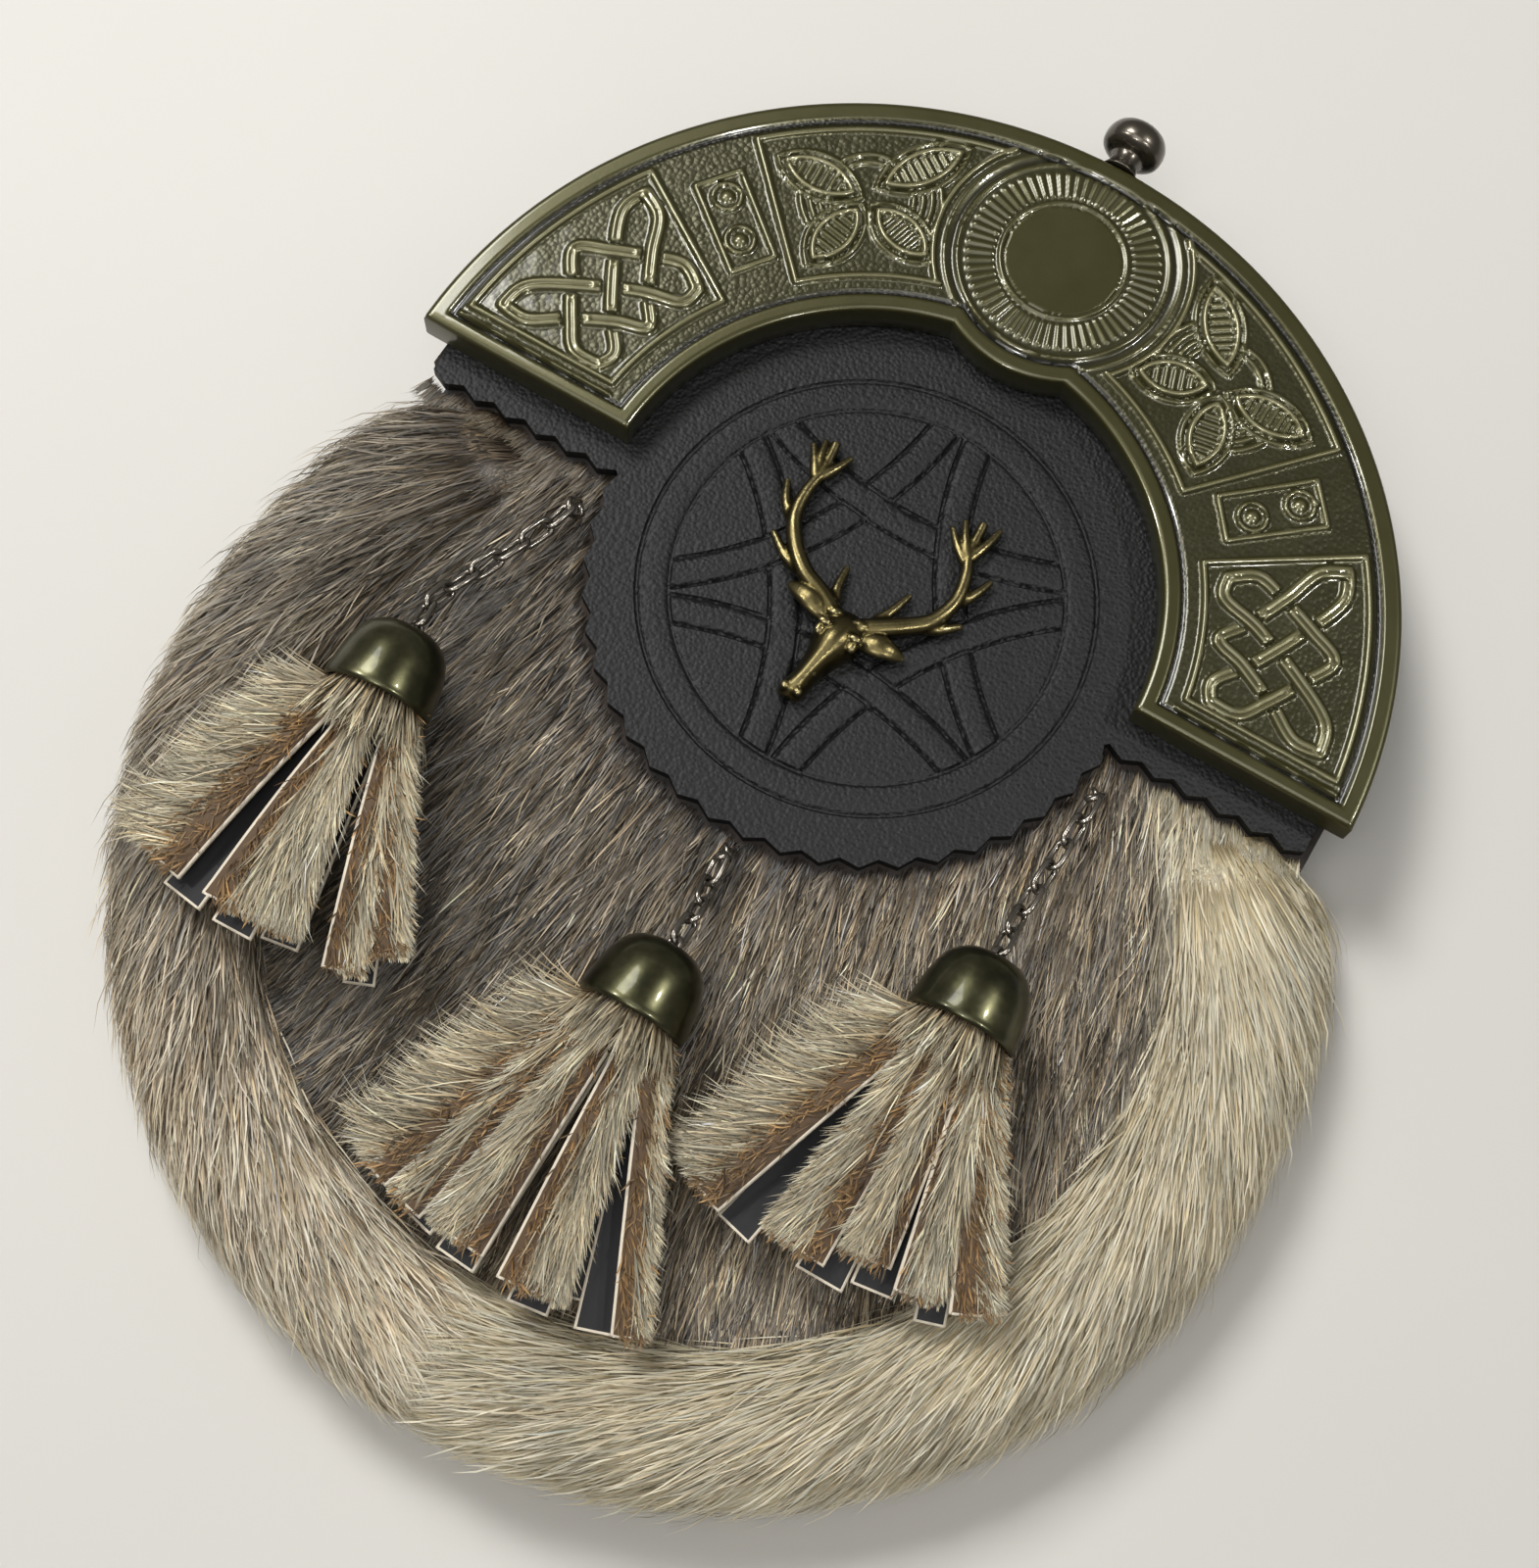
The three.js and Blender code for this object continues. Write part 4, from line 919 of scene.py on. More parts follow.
def leaf_relief(x, y):
    raised = np.zeros_like(x)
    for root, tip in LEAVES:
        root, tip = np.array(root), np.array(tip)
        length = np.linalg.norm(tip - root)
        along = (tip - root) / length
        across = np.array([-along[1], along[0]])
        middle = (root + tip) / 2
        curve_r = ((length / 2) ** 2 + LEAF_HALF**2) / (2 * LEAF_HALF)
        sides = [middle + across * sign * (curve_r - LEAF_HALF) for sign in (1, -1)]
        edge = np.max([np.hypot(x - c[0], y - c[1]) - curve_r for c in sides], axis=0)
        run = (x - root[0]) * along[0] + (y - root[1]) * along[1]
        hatch = 0.65 * (0.5 + 0.5 * np.cos(2 * math.pi * run / 1.5)) * (edge < -1.15)
        line = ridge(edge + 0.5, 0.7, 1.0) + ridge(edge - 0.95, 0.5, 0.6)
        raised = np.where(edge < 0.2, np.maximum(line, hatch), np.maximum(raised, line))
    mx, my = LEAF_MIDDLE
    r, turn = np.hypot(x - mx, y - my), np.degrees(np.arctan2(y - my, x - mx)) % 360
    for start, end, radii in LEAF_ARCS:
        for radius in radii:
            rib = np.where((turn > start) & (turn < end), ridge(r - radius, 0.6, 0.65), 0)
            raised = np.maximum(raised, np.where(raised > 0.02, raised, rib))
    return raised


def medallion_relief(r, turn):
    ribs = RIBS["height"] * (0.5 + 0.5 * np.cos(RIBS["count"] * turn))
    ribs = ribs * np.clip((r - RIBS["inner"]) / 0.5, 0, 1) * np.clip((RIBS["outer"] - r) / 0.6, 0, 1)
    rings = sum(ridge(r - ring, half, height) for ring, half, height in MEDAL_RIDGES)
    disc = np.where(r < MEDAL_DISC["r"], MEDAL_DISC["height"], 0)
    ring, half, depth = MEDAL_GROOVE
    return np.maximum(ribs, rings) + disc - ridge(r - ring, half, depth)


def cantle_relief(x, y, rim_in):
    """Height above the sunk field, in millimetres; rim_in is the distance from the inner edge."""
    side = np.abs(x)
    r = np.hypot(x, y)
    rim_out, rim_end = CANTLE["outerR"] - r, y - CANTLE["end"]
    raised = np.zeros_like(x)
    for line, half, height in panel_lines():
        spots = near(side, y, line, half)
        away, _ = nearest_on(side[spots], y[spots], line)
        raised[spots] = np.maximum(raised[spots], ridge(away, half, height))
        shadow = near(side, y, line, half + 0.7)
        away, _ = nearest_on(side[shadow], y[shadow], line)
        raised[shadow] = np.where(raised[shadow] > 0, raised[shadow], -ridge(away - half - 0.35, 0.35, 0.14))
    knot = knot_relief(side, y, interlaced(looped(plait_loop())), KNOT["half"], KNOT["height"])
    raised = np.where(knot != 0, np.maximum(knot, np.where(raised > 0, raised, knot)), raised)
    raised = np.maximum(raised, leaf_relief(side, y))
    for bx, by in RING_BOSSES:
        away = np.hypot(side - bx, y - by)
        raised = np.maximum(raised, ridge(away - 2.45, 0.55, 0.75) + ridge(away, 1.5, 0.8))
    medal_r = np.hypot(x, y - MEDALLION_Y)
    medal = medallion_relief(medal_r, np.arctan2(y - MEDALLION_Y, x))
    raised = np.where(medal_r < LOBE_R - 1.1, medal, raised)
    from_rim = np.minimum(np.minimum(rim_out / RIM["outer"], rim_in / RIM["inner"]), rim_end / RIM["end"])
    band = np.clip((1.06 - from_rim) / 0.12, 0, 1)
    stipple = np.where((raised < 0.12) & (medal_r > LOBE_R - 1.5), 1.0, 0.0) * (1 - band)
    uneven = 0.04 * (speckle(x, y, 2.4, 6) - 0.5) * (medal_r > MEDAL_DISC["r"] + 0.1)
    raised = raised - ridge(from_rim - 1.18, 0.19, 0.4) + uneven
    return np.where(band > 0, raised * (1 - band) + RIM["height"] * band, raised), stipple


def inner_edge(turn):
    """Distance of the cantle's inner edge from the middle, with the lobe of the medallion."""
    reach = LOBE_R**2 - (MEDALLION_Y * np.cos(turn)) ** 2
    lobe = MEDALLION_Y * np.sin(turn) - np.sqrt(np.maximum(reach, 0))
    return np.where(reach > 0, np.minimum(CANTLE["innerR"], lobe), CANTLE["innerR"])


def cantle_mesh():
    insets, drops = (np.array(column) for column in zip(*EDGE))
    shares = np.linspace(0, 1, FIELD_ROWS)
    steps = np.linspace(FIELD_END, 1 - FIELD_END, FIELD_COLUMNS)
    columns = len(steps) + 2 * len(insets)
    rows = FIELD_ROWS + 2 * len(insets)
    turn0 = np.concatenate([np.zeros(len(insets)), steps, np.ones(len(insets))]) * math.pi
    inner = inner_edge(turn0)
    r = np.zeros((columns, rows))
    row_drop = np.concatenate([drops, np.zeros(FIELD_ROWS), drops[::-1]])
    for c in range(columns):
        first, last = inner[c] + FIELD_INSET, CANTLE["outerR"] - FIELD_INSET
        field = first + (last - first) * shares
        r[c] = np.concatenate([inner[c] + insets, field, CANTLE["outerR"] - insets[::-1]])
    end_turn = np.arcsin(CANTLE["end"] / r)
    turn = end_turn + (turn0 / math.pi)[:, None] * (math.pi - 2 * end_turn)
    for k, inset in enumerate(insets):
        turn[k] = end_turn[k] + inset / r[k]
        turn[columns - 1 - k] = math.pi - turn[k]
    column_drop = np.concatenate([drops, np.zeros(FIELD_COLUMNS), drops[::-1]])
    x, y = r * np.cos(turn), r * np.sin(turn)
    lobe_gap = LOBE_R - np.hypot(x, y - MEDALLION_Y)
    rim_in = np.where(lobe_gap > 0, np.maximum(lobe_gap, r - CANTLE["innerR"]), r - CANTLE["innerR"])
    relief, stipple = (a.reshape(x.shape) for a in cantle_relief(x.ravel(), y.ravel(), rim_in.ravel()))
    z = CANTLE["field"] + relief - np.minimum(1.1, row_drop[None] + column_drop[:, None])
    top = np.stack([x, y + CANTLE_Y, z], -1)
    skirt, foot, chamfer, wall = (CANTLE[k] for k in ("skirt", "bottom", "chamfer", "wall"))
    under = np.full(columns, CANTLE["under"])
    under[:6] = under[-6:] = foot  # the skirt runs across both ends

    def below(row, inset, height):
        reach = r[:, row] + inset
        spot = np.stack([reach * np.cos(turn[:, row]), reach * np.sin(turn[:, row]) + CANTLE_Y], -1)
        return np.concatenate([spot, np.broadcast_to(height, (columns,))[:, None]], 1)

    outer = ((0, wall), (0, foot + chamfer), (chamfer, foot), (skirt, foot), (skirt, under))
    ring = [below(-1, -inset, height) for inset, height in outer]
    ring += [below(0, inset, height) for inset, height in outer[::-1]]
    points = np.concatenate([top, np.stack(ring, 1)], 1)
    around = points.shape[1]
    c, k = np.meshgrid(np.arange(columns - 1), np.arange(around), indexing="ij")
    a, b = c * around + k, c * around + (k + 1) % around
    quads = np.stack([a, b, b + around, a + around], -1).reshape(-1, 4)
    faces = [tuple(q) for q in quads[:, ::-1]]
    faces.append(tuple(range(around)))
    faces.append(tuple(range((columns - 1) * around, columns * around))[::-1])
    mesh = bpy.data.meshes.new("cantle_casting")
    mesh.from_pydata((points.reshape(-1, 3) * MM).tolist(), [], faces)
    for name, values, below_rim in (("relief", relief, 0.3), ("stipple", stipple, 0.0)):
        layer = mesh.attributes.new(name, "FLOAT", "POINT")
        full = np.concatenate([values, np.full((columns, len(ring)), below_rim)], 1)
        layer.data.foreach_set("value", full.astype(np.float32).ravel())
    mesh.shade_smooth()
    mesh.set_sharp_from_angle(angle=math.radians(62))
    return mesh


def cast_metal(name, recess, body, worn_and_painted_highlight, gloss, metallic, relief=False):
    """Dark antiqued metal under lacquer: black in the recesses, rubbed bright on what stands up, with a
    painted highlight in that bright colour.
    """
    material, tree, shader = new_finish(name, Metallic=metallic, Coat_Weight=0.55, Coat_Roughness=0.1)
    cloud = noise(tree, 130.0, 5.0, 0.6)
    normal = bumped(tree, noise(tree, 1500.0, 3.0), 0.2, 0.05)
    share = levels(tree, cloud, 0.2, 0.6)
    if relief:
        height = add(tree, "Attribute", attribute_name="relief").outputs["Fac"]
        share = add(tree, "MapRange", {"Value": height, "From Min": -0.3, "From Max": 1.1}).outputs["Result"]
        spot = add(tree, "TexCoord").outputs["Object"]
        punched = add(tree, "TexVoronoi", {"Vector": spot, "Scale": 1 / (PUNCH * MM), "Randomness": 0.8})
        mask = add(tree, "Attribute", attribute_name="stipple").outputs["Fac"]
        normal = bumped(tree, punched.outputs["Distance"], mask, 0.1, normal, invert=True)
    # the worn colour on the highest relief is partly a painted highlight
    stops = [(0.0, recess), (0.36, body), (0.55, body), (0.9, worn_and_painted_highlight)]
    feed(tree, shader, Base_Color=ramp(tree, share, stops))
    feed(tree, shader, Roughness=levels(tree, cloud, gloss - 0.06, gloss + 0.1), Normal=normal)
    return material


olive_metal = cast_metal("olive_casting", *OLIVE, 0.3, 0.45, relief=True)
new_piece("cantle_casting", cantle_mesh(), olive_metal, ["cantle"])

# Closing stud
# A mushroom-headed stud on a short waisted neck, turned in gunmetal and riveted through the cantle's skirt.
STUD_Y, STUD_Z = 118.3, 22.6
STUD_SECTION = (  # radius, distance from the skirt
    (0.0, 0.0), (3.1, 0.0), (3.2, 0.5), (2.9, 1.0), (2.7, 1.8), (2.7, 2.8), (3.0, 3.5), (4.3, 3.9),
    (5.3, 4.7), (5.6, 6.0), (5.4, 7.5), (4.6, 8.8), (3.0, 9.7), (1.4, 10.0), (0.0, 10.05),
)
TURNED_SIDES = 72
GUNMETAL = ((30, 28, 25), (82, 76, 66), (140, 134, 124))


def through(points, steps):
    """A smooth open curve through points."""
    points = np.array(points, float)
    padded = np.concatenate([2 * points[:1] - points[1:2], points, 2 * points[-1:] - points[-2:-1]])
    line = []
    for p0, p1, p2, p3 in zip(padded, padded[1:], padded[2:], padded[3:]):
        line += curve_between(p0, p1, p2, p3, steps)
    return np.array(line + [points[-1]])


def turned_piece(name, section, closed=False):
    """A turned mesh about the Z axis, from (radius, height) points; points on the axis close it."""
    shape = bmesh.new()
    lines = []
    for i in range(TURNED_SIDES):
        a = 2 * math.pi * i / TURNED_SIDES
        x, y = math.cos(a), math.sin(a)
        lines.append([shape.verts.new(Vector((max(r, 0) * x, max(r, 0) * y, h)) * MM) for r, h in section])
    last = len(section) - (0 if closed else 1)
    for here, after in zip(lines, lines[1:] + lines[:1]):
        for k in range(last):
            n = (k + 1) % len(section)
            shape.faces.new([here[k], after[k], after[n], here[n]])
    bmesh.ops.remove_doubles(shape, verts=shape.verts, dist=1e-7)
    bmesh.ops.recalc_face_normals(shape, faces=shape.faces)
    mesh = bpy.data.meshes.new(name)
    shape.to_mesh(mesh)
    shape.free()
    mesh.shade_smooth()
    return mesh


gunmetal = cast_metal("gunmetal", *GUNMETAL, 0.26, 0.85)
stud_mesh = turned_piece("closing_stud_turned", through(STUD_SECTION, 4))
pointing_up_the_bag = Matrix.Rotation(math.radians(-90), 4, "X")
stud_mesh.transform(Matrix.Translation((0, STUD_Y * MM, STUD_Z * MM)) @ pointing_up_the_bag)
new_piece("closing_stud_turned", stud_mesh, gunmetal, ["closing_stud"])

# Stag's head
# A cast badge in antique brass: a narrow head with a long muzzle, ears laid back and two branching antlers.
# It is cast in one piece with prongs behind it, which are pressed through the targe.
BADGE_Z = 19.0
HEAD = (  # along the face from poll to nose: y, x, half width, rise
    (-6.2, 0.1, 2.3, 2.0), (-8.0, 0.1, 3.9, 3.8), (-10.0, 0.0, 4.5, 4.8), (-12.4, -0.3, 4.2, 5.2),
    (-14.6, -0.6, 3.3, 4.9), (-17.0, -1.1, 2.6, 4.4), (-19.5, -1.6, 2.2, 3.9), (-21.8, -2.1, 2.3, 3.5),
    (-23.2, -2.4, 2.3, 3.0), (-24.3, -2.5, 1.6, 1.9),
)
HEAD_SIDES, EAR_SIDES, ANTLER_SIDES = 28, 14, 12
EYES = ((-3.4, -11.9), (2.9, -12.1))
NOSTRILS_X, NOSTRILS_Y = (-3.6, -1.1), -22.9
BURRS_X, BURRS_Y = (-2.4, 2.1), -7.9  # the knobs that the antlers grow from
EARS = (((-3.4, -9.0), (-7.6, -7.6), (-12.2, -6.8)), ((3.2, -9.8), (7.0, -9.2), (11.2, -8.8)))
ANTLERS = (  # beams and tines from root to tip, with the thickness at the root
    (((-2.5, -8.0), (-6.2, -5.9), (-10.6, -3.9), (-14.4, -0.4), (-17.0, 4.0), (-17.5, 9.0), (-17.0, 13.5),
      (-17.6, 19.6)), 1.45),
    (((-3.4, -7.0), (-4.6, -3.4), (-5.0, 1.0)), 1.0),
    (((-9.6, -4.3), (-14.6, -3.0), (-19.0, 0.2)), 1.1),
    (((-15.8, 2.4), (-19.4, 5.4), (-21.5, 9.6)), 1.0),
    (((-17.2, 11.4), (-19.0, 14.4), (-21.0, 17.6)), 0.95),
    (((-17.2, 12.0), (-15.4, 15.0), (-14.0, 18.6)), 0.95),
    (((-17.2, 12.0), (-18.6, 16.0), (-19.4, 19.2)), 0.9),
    (((2.0, -8.0), (5.0, -6.2), (8.8, -3.6), (12.0, -0.6), (13.6, 4.2), (13.0, 9.0), (11.5, 13.4),
      (11.0, 19.6)), 1.45),
    (((3.0, -7.0), (5.0, -3.0), (6.5, 2.0)), 1.0),
    (((9.6, -2.9), (13.5, -1.2), (16.5, 1.5)), 1.1),
    (((13.3, 3.6), (15.6, 7.0), (17.0, 11.0)), 1.0),
    (((11.9, 11.8), (9.8, 15.0), (8.0, 18.6)), 0.95),
    (((11.8, 12.0), (13.2, 16.0), (14.0, 20.0)), 0.95),
    (((11.8, 11.4), (9.0, 13.6), (6.6, 16.4)), 0.9),
)
BRASS = ((20, 17, 10), (74, 66, 40), (152, 141, 104))
BADGE_VOXEL = 0.24


def lofted(shape, rings):
    """Skins rings of points into a mesh, with a cap at each end."""
    loops = [[shape.verts.new(Vector(p) * MM) for p in ring] for ring in rings]
    for here, after in zip(loops, loops[1:]):
        for k in range(len(here)):
            n = (k + 1) % len(here)
            shape.faces.new([here[k], here[n], after[n], after[k]])
    shape.faces.new(loops[0][::-1])
    shape.faces.new(loops[-1])


def tube_rings(path, radii, sides):
    """Round rings along a path of (x, y, z) points."""
    path = np.asarray(path, float)
    ways = unit(np.gradient(path, axis=0))
    rings = []
    for p, way, r in zip(path, ways, radii):
        level = np.array([0, 0, 1.0]) if abs(way[2]) < 0.9 else np.array([1.0, 0, 0])
        first = unit(np.cross(way, level))
        second = np.cross(first, way)
        turn = np.linspace(0, 2 * math.pi, sides, endpoint=False)[:, None]
        rings.append(p + r * (np.cos(turn) * first + np.sin(turn) * second))
    return rings


def ball(shape, x, y, z, rx, ry, rz):
    made = bmesh.ops.create_uvsphere(shape, u_segments=16, v_segments=10, radius=1)
    bmesh.ops.scale(shape, verts=made["verts"], vec=(rx * MM, ry * MM, rz * MM))
    bmesh.ops.translate(shape, verts=made["verts"], vec=(x * MM, (y + CANTLE_Y) * MM, (BADGE_Z + z) * MM))


def stag_mesh():
    shape = bmesh.new()
    face = through(HEAD, 3)
    rings = []
    turn = np.linspace(0, 2 * math.pi, HEAD_SIDES, endpoint=False)
    for y, x, half, rise in face:
        side = half * np.cos(turn) * (1 - 0.1 * np.sin(turn))
        up = np.where(np.sin(turn) > 0, rise * np.abs(np.sin(turn)) ** 0.85, -0.02)
        rings.append(np.stack([x + side, np.full(HEAD_SIDES, y + CANTLE_Y), BADGE_Z + 0.02 + up], 1))
    lofted(shape, rings)
    for eye_x, eye_y in EYES:
        ball(shape, eye_x, eye_y, 3.9, 0.95, 1.25, 0.8)
        ball(shape, eye_x * 0.93, eye_y + 1.3, 4.5, 1.3, 0.75, 0.7)
    for x in NOSTRILS_X:
        ball(shape, x, NOSTRILS_Y, 2.6, 0.8, 0.85, 0.75)
    for root, bend, tip in EARS:
        path = through(((*root, 1.9), (*bend, 2.6), (*tip, 1.4)), 5)
        path[:, 1] += CANTLE_Y
        path[:, 2] += BADGE_Z
        shares = np.linspace(0, 1, len(path))
        rings = tube_rings(path, 0.35 + 1.75 * np.sin(math.pi * (0.16 + 0.84 * shares)) ** 0.8, EAR_SIDES)
        flat = [np.stack([r[:, 0], r[:, 1], p[2] + (r[:, 2] - p[2]) * 0.55], 1) for r, p in zip(rings, path)]
        lofted(shape, flat)
    for path, thick in ANTLERS:
        line = through(path, 4)
        shares = np.linspace(0, 1, len(line))
        radii = 1.22 * thick * (1 - 0.52 * shares**1.3)
        crown = radii + 0.02 + (0.9 if thick > 1.2 else 0.5) * np.sin(math.pi * np.clip(shares, 0, 1)) * 0.6
        spots = np.stack([line[:, 0], line[:, 1] + CANTLE_Y, BADGE_Z + crown], 1)
        lofted(shape, tube_rings(spots, radii, ANTLER_SIDES))
    for x in BURRS_X:
        ball(shape, x, BURRS_Y, 2.4, 1.75, 1.2, 1.5)
    bmesh.ops.recalc_face_normals(shape, faces=shape.faces)
    rough = bpy.data.meshes.new("stag_rough")
    shape.to_mesh(rough)
    shape.free()
    maker = bpy.data.objects.new("stag_rough", rough)
    bpy.context.scene.collection.objects.link(maker)
    fuse = maker.modifiers.new("fuse", "REMESH")
    fuse.mode = "VOXEL"
    fuse.voxel_size = BADGE_VOXEL * MM
    soften = maker.modifiers.new("soften", "SMOOTH")
    soften.factor = 0.5
    soften.iterations = 5
    held = maker.evaluated_get(bpy.context.evaluated_depsgraph_get())
    mesh = bpy.data.meshes.new_from_object(held)
    mesh.name = "stag_badge"
    bpy.data.objects.remove(maker)
    bpy.data.meshes.remove(rough)
    mesh.shade_smooth()
    return mesh


def rubbed_brass():
    """Antique brass: dark in the hollows and rubbed bright on the crests."""
    material, tree, shader = new_finish("antique_brass", Metallic=1.0)
    crest = add(tree, "NewGeometry").outputs["Pointiness"]
    share = add(tree, "MapRange", {"Value": crest, "From Min": 0.42, "From Max": 0.58}).outputs["Result"]
    feed(tree, shader, Base_Color=ramp(tree, share, list(zip((0.05, 0.5, 0.95), BRASS))))
    feed(tree, shader, Roughness=levels(tree, noise(tree, 300.0, 4.0), 0.2, 0.42))
    feed(tree, shader, Normal=bumped(tree, noise(tree, 2200.0, 2.0), 0.3, 0.08))
    return material


new_piece("stag_badge", stag_mesh(), rubbed_brass(), ["stag_head"])

# Chains
# Short chains of oval wire links in gunmetal, each held by a pin behind the front hide. A chain comes up
# through its hole, lies on the fur and goes into the top of its tassel's cup.
LINK = {"wire": 0.5, "pitch": 4.95, "half": 1.45, "reach": 0.5, "steps": 28, "sides": 12}
CUP_Z = 29.8
CHAIN_IN_CUP = 3.6
PIN_DEPTH = 2.5
FRONT_INSIDE = 14.0
CHAIN_LIE = ((2.6, 5.4), (7.5, 5.8))  # away from the hole and above the hide
CHAIN_LEAD = ((8, 4), (3, 1))  # before the cup and below its axis
CHAIN_METAL = ((34, 32, 29), (112, 106, 97), (176, 171, 162))


def cup_axis(lean):
    return np.array([math.sin(math.radians(lean)), -math.cos(math.radians(lean)), 0.0])


def eased_curve(points, samples=60):
    """A curve through points whose bends don't overshoot where the points are close together."""
    points = np.array(points, float)
    ends = [2 * points[0] - points[1], *points, 2 * points[-1] - points[-2]]
    line = []
    for p0, p1, p2, p3 in zip(ends, ends[1:], ends[2:], ends[3:]):
        d0, d1, d2 = (max(np.linalg.norm(b - a) ** 0.5, 1e-4) for a, b in ((p0, p1), (p1, p2), (p2, p3)))
        t1 = ((p1 - p0) / d0 - (p2 - p0) / (d0 + d1) + (p2 - p1) / d1) * d1
        t2 = ((p2 - p1) / d1 - (p3 - p1) / (d1 + d2) + (p3 - p2) / d2) * d1
        for t in np.arange(samples) / samples:
            c2 = -3 * p1 + 3 * p2 - 2 * t1 - t2
            c3 = 2 * p1 - 2 * p2 + t1 + t2
            line.append(p1 + t1 * t + c2 * t**2 + c3 * t**3)
    return np.array(line + [points[-1]])


def chain_joints(place):
    (x, y), apex, axis = place["hole"], place["apex"], cup_axis(place["lean"])
    top = np.array([*apex, CUP_Z])
    away = unit(np.array([apex[0] - x, apex[1] - y, 0.0]))
    hole = np.array([x, y, 0.0])
    line = eased_curve([
        hole + (0, 0, FRONT_INSIDE - PIN_DEPTH),
        hole + (0, 0, FRONT_TOP + 1.5),
        *(hole + away * run + (0, 0, FRONT_TOP + rise) for run, rise in CHAIN_LIE),
        *(top - axis * run - (0, 0, drop) for run, drop in CHAIN_LEAD),
        top + axis * CHAIN_IN_CUP,
    ])
    run = np.concatenate([[0], np.cumsum(np.linalg.norm(np.diff(line, axis=0), axis=1))])
    count = round(run[-1] / LINK["pitch"])
    spots = np.linspace(0, run[-1], count + 1)
    return np.stack([np.interp(spots, run, line[:, k]) for k in range(3)], 1)


def link_rings(start, end, turned):
    along = unit(end - start)
    level = np.array([1.0, 0, 0]) if abs(along[2]) > 0.9 else np.array([0, 0, 1.0])
    side = unit(level - along * (level @ along))
    side = side * math.cos(turned) + np.cross(along, side) * math.sin(turned)
    normal = np.cross(along, side)
    straight = np.linalg.norm(end - start) / 2 + LINK["reach"] - LINK["half"]
    rings = []
    for a in np.linspace(0, 2 * math.pi, LINK["steps"], endpoint=False):
        out = along * math.cos(a) + side * math.sin(a)
        middle = (start + end) / 2 + along * straight * np.sign(round(math.cos(a), 6)) + out * LINK["half"]
        turn = np.linspace(0, 2 * math.pi, LINK["sides"], endpoint=False)[:, None]
        rings.append(middle + LINK["wire"] * (np.cos(turn) * out + np.sin(turn) * normal))
    return np.array(rings)


def ring_mesh(name, groups):
    """Closed loops of rings, such as chain links, as one mesh."""
    points, faces = [], []
    for rings in groups:
        base = sum(len(p) for p in points)
        steps, sides = rings.shape[:2]
        i, k = np.meshgrid(np.arange(steps), np.arange(sides), indexing="ij")
        a, b = base + i * sides + k, base + i * sides + (k + 1) % sides
        c, d = base + (i + 1) % steps * sides + (k + 1) % sides, base + (i + 1) % steps * sides + k
        faces += [np.stack(corners, -1).reshape(-1, 3) for corners in ((a, b, c), (a, c, d))]
        points.append(rings.reshape(-1, 3))
    return triangle_mesh(name, np.concatenate(points), np.concatenate(faces))


chain_metal = cast_metal("chain_gunmetal", *CHAIN_METAL, 0.24, 0.85)
for side, place in TASSEL_PLACES.items():
    joints = chain_joints(place)
    links = []
    for i, (start, end) in enumerate(zip(joints, joints[1:])):
        links.append(link_rings(start, end, (1 if i % 2 else -1) * math.pi / 4))
    chain = ring_mesh("chain_links_" + side, links)
    new_piece("chain_links_" + side, chain, chain_metal, ["chain_" + side])
    refinish("chain_pin_" + side, chain_metal)

# Tassel cups
# Bell-shaped cups spun from sheet and finished in polished dark olive, with the rim turned in.
# Each slips down its chain over the bound head of a tassel.
CUP_SECTION = (  # radius, distance from the cup's top: down the outside, then up the inside
    (2.7, 0.0), (3.6, 0.05), (5.0, 0.5), (6.4, 1.5), (7.5, 2.9), (8.3, 4.9), (8.8, 7.2), (9.1, 9.6),
    (9.3, 11.4), (9.3, 12.2), (9.15, 12.8), (8.8, 13.0), (8.45, 12.8), (8.3, 12.0), (8.0, 9.0),
    (7.4, 5.6), (6.3, 3.6), (4.6, 2.0), (2.8, 1.25),
)
CUP_OLIVE = ((26, 26, 18), (62, 61, 40), (92, 90, 68))


def polished_olive():
    sheen = {"Metallic": 0.9, "Coat_Weight": 0.2, "Coat_Roughness": 0.08}
    material, tree, shader = new_finish("polished_olive", **sheen)
    stops = list(zip((0.25, 0.5, 0.85), CUP_OLIVE))
    feed(tree, shader, Base_Color=ramp(tree, noise(tree, 160.0, 4.0), stops))
    feed(tree, shader, Roughness=levels(tree, noise(tree, 900.0, 3.0), 0.24, 0.38))
    return material


cup_finish = polished_olive()
for side, place in TASSEL_PLACES.items():
    cup = turned_piece("cup_spun_" + side, CUP_SECTION, closed=True)
    turn = Vector((0, 0, 1)).rotation_difference(Vector(cup_axis(place["lean"]))).to_matrix().to_4x4()
    cup.transform(Matrix.Translation(Vector((*place["apex"], CUP_Z)) * MM) @ turn)
    new_piece("cup_spun_" + side, cup, cup_finish, ["tassel_cup_" + side])

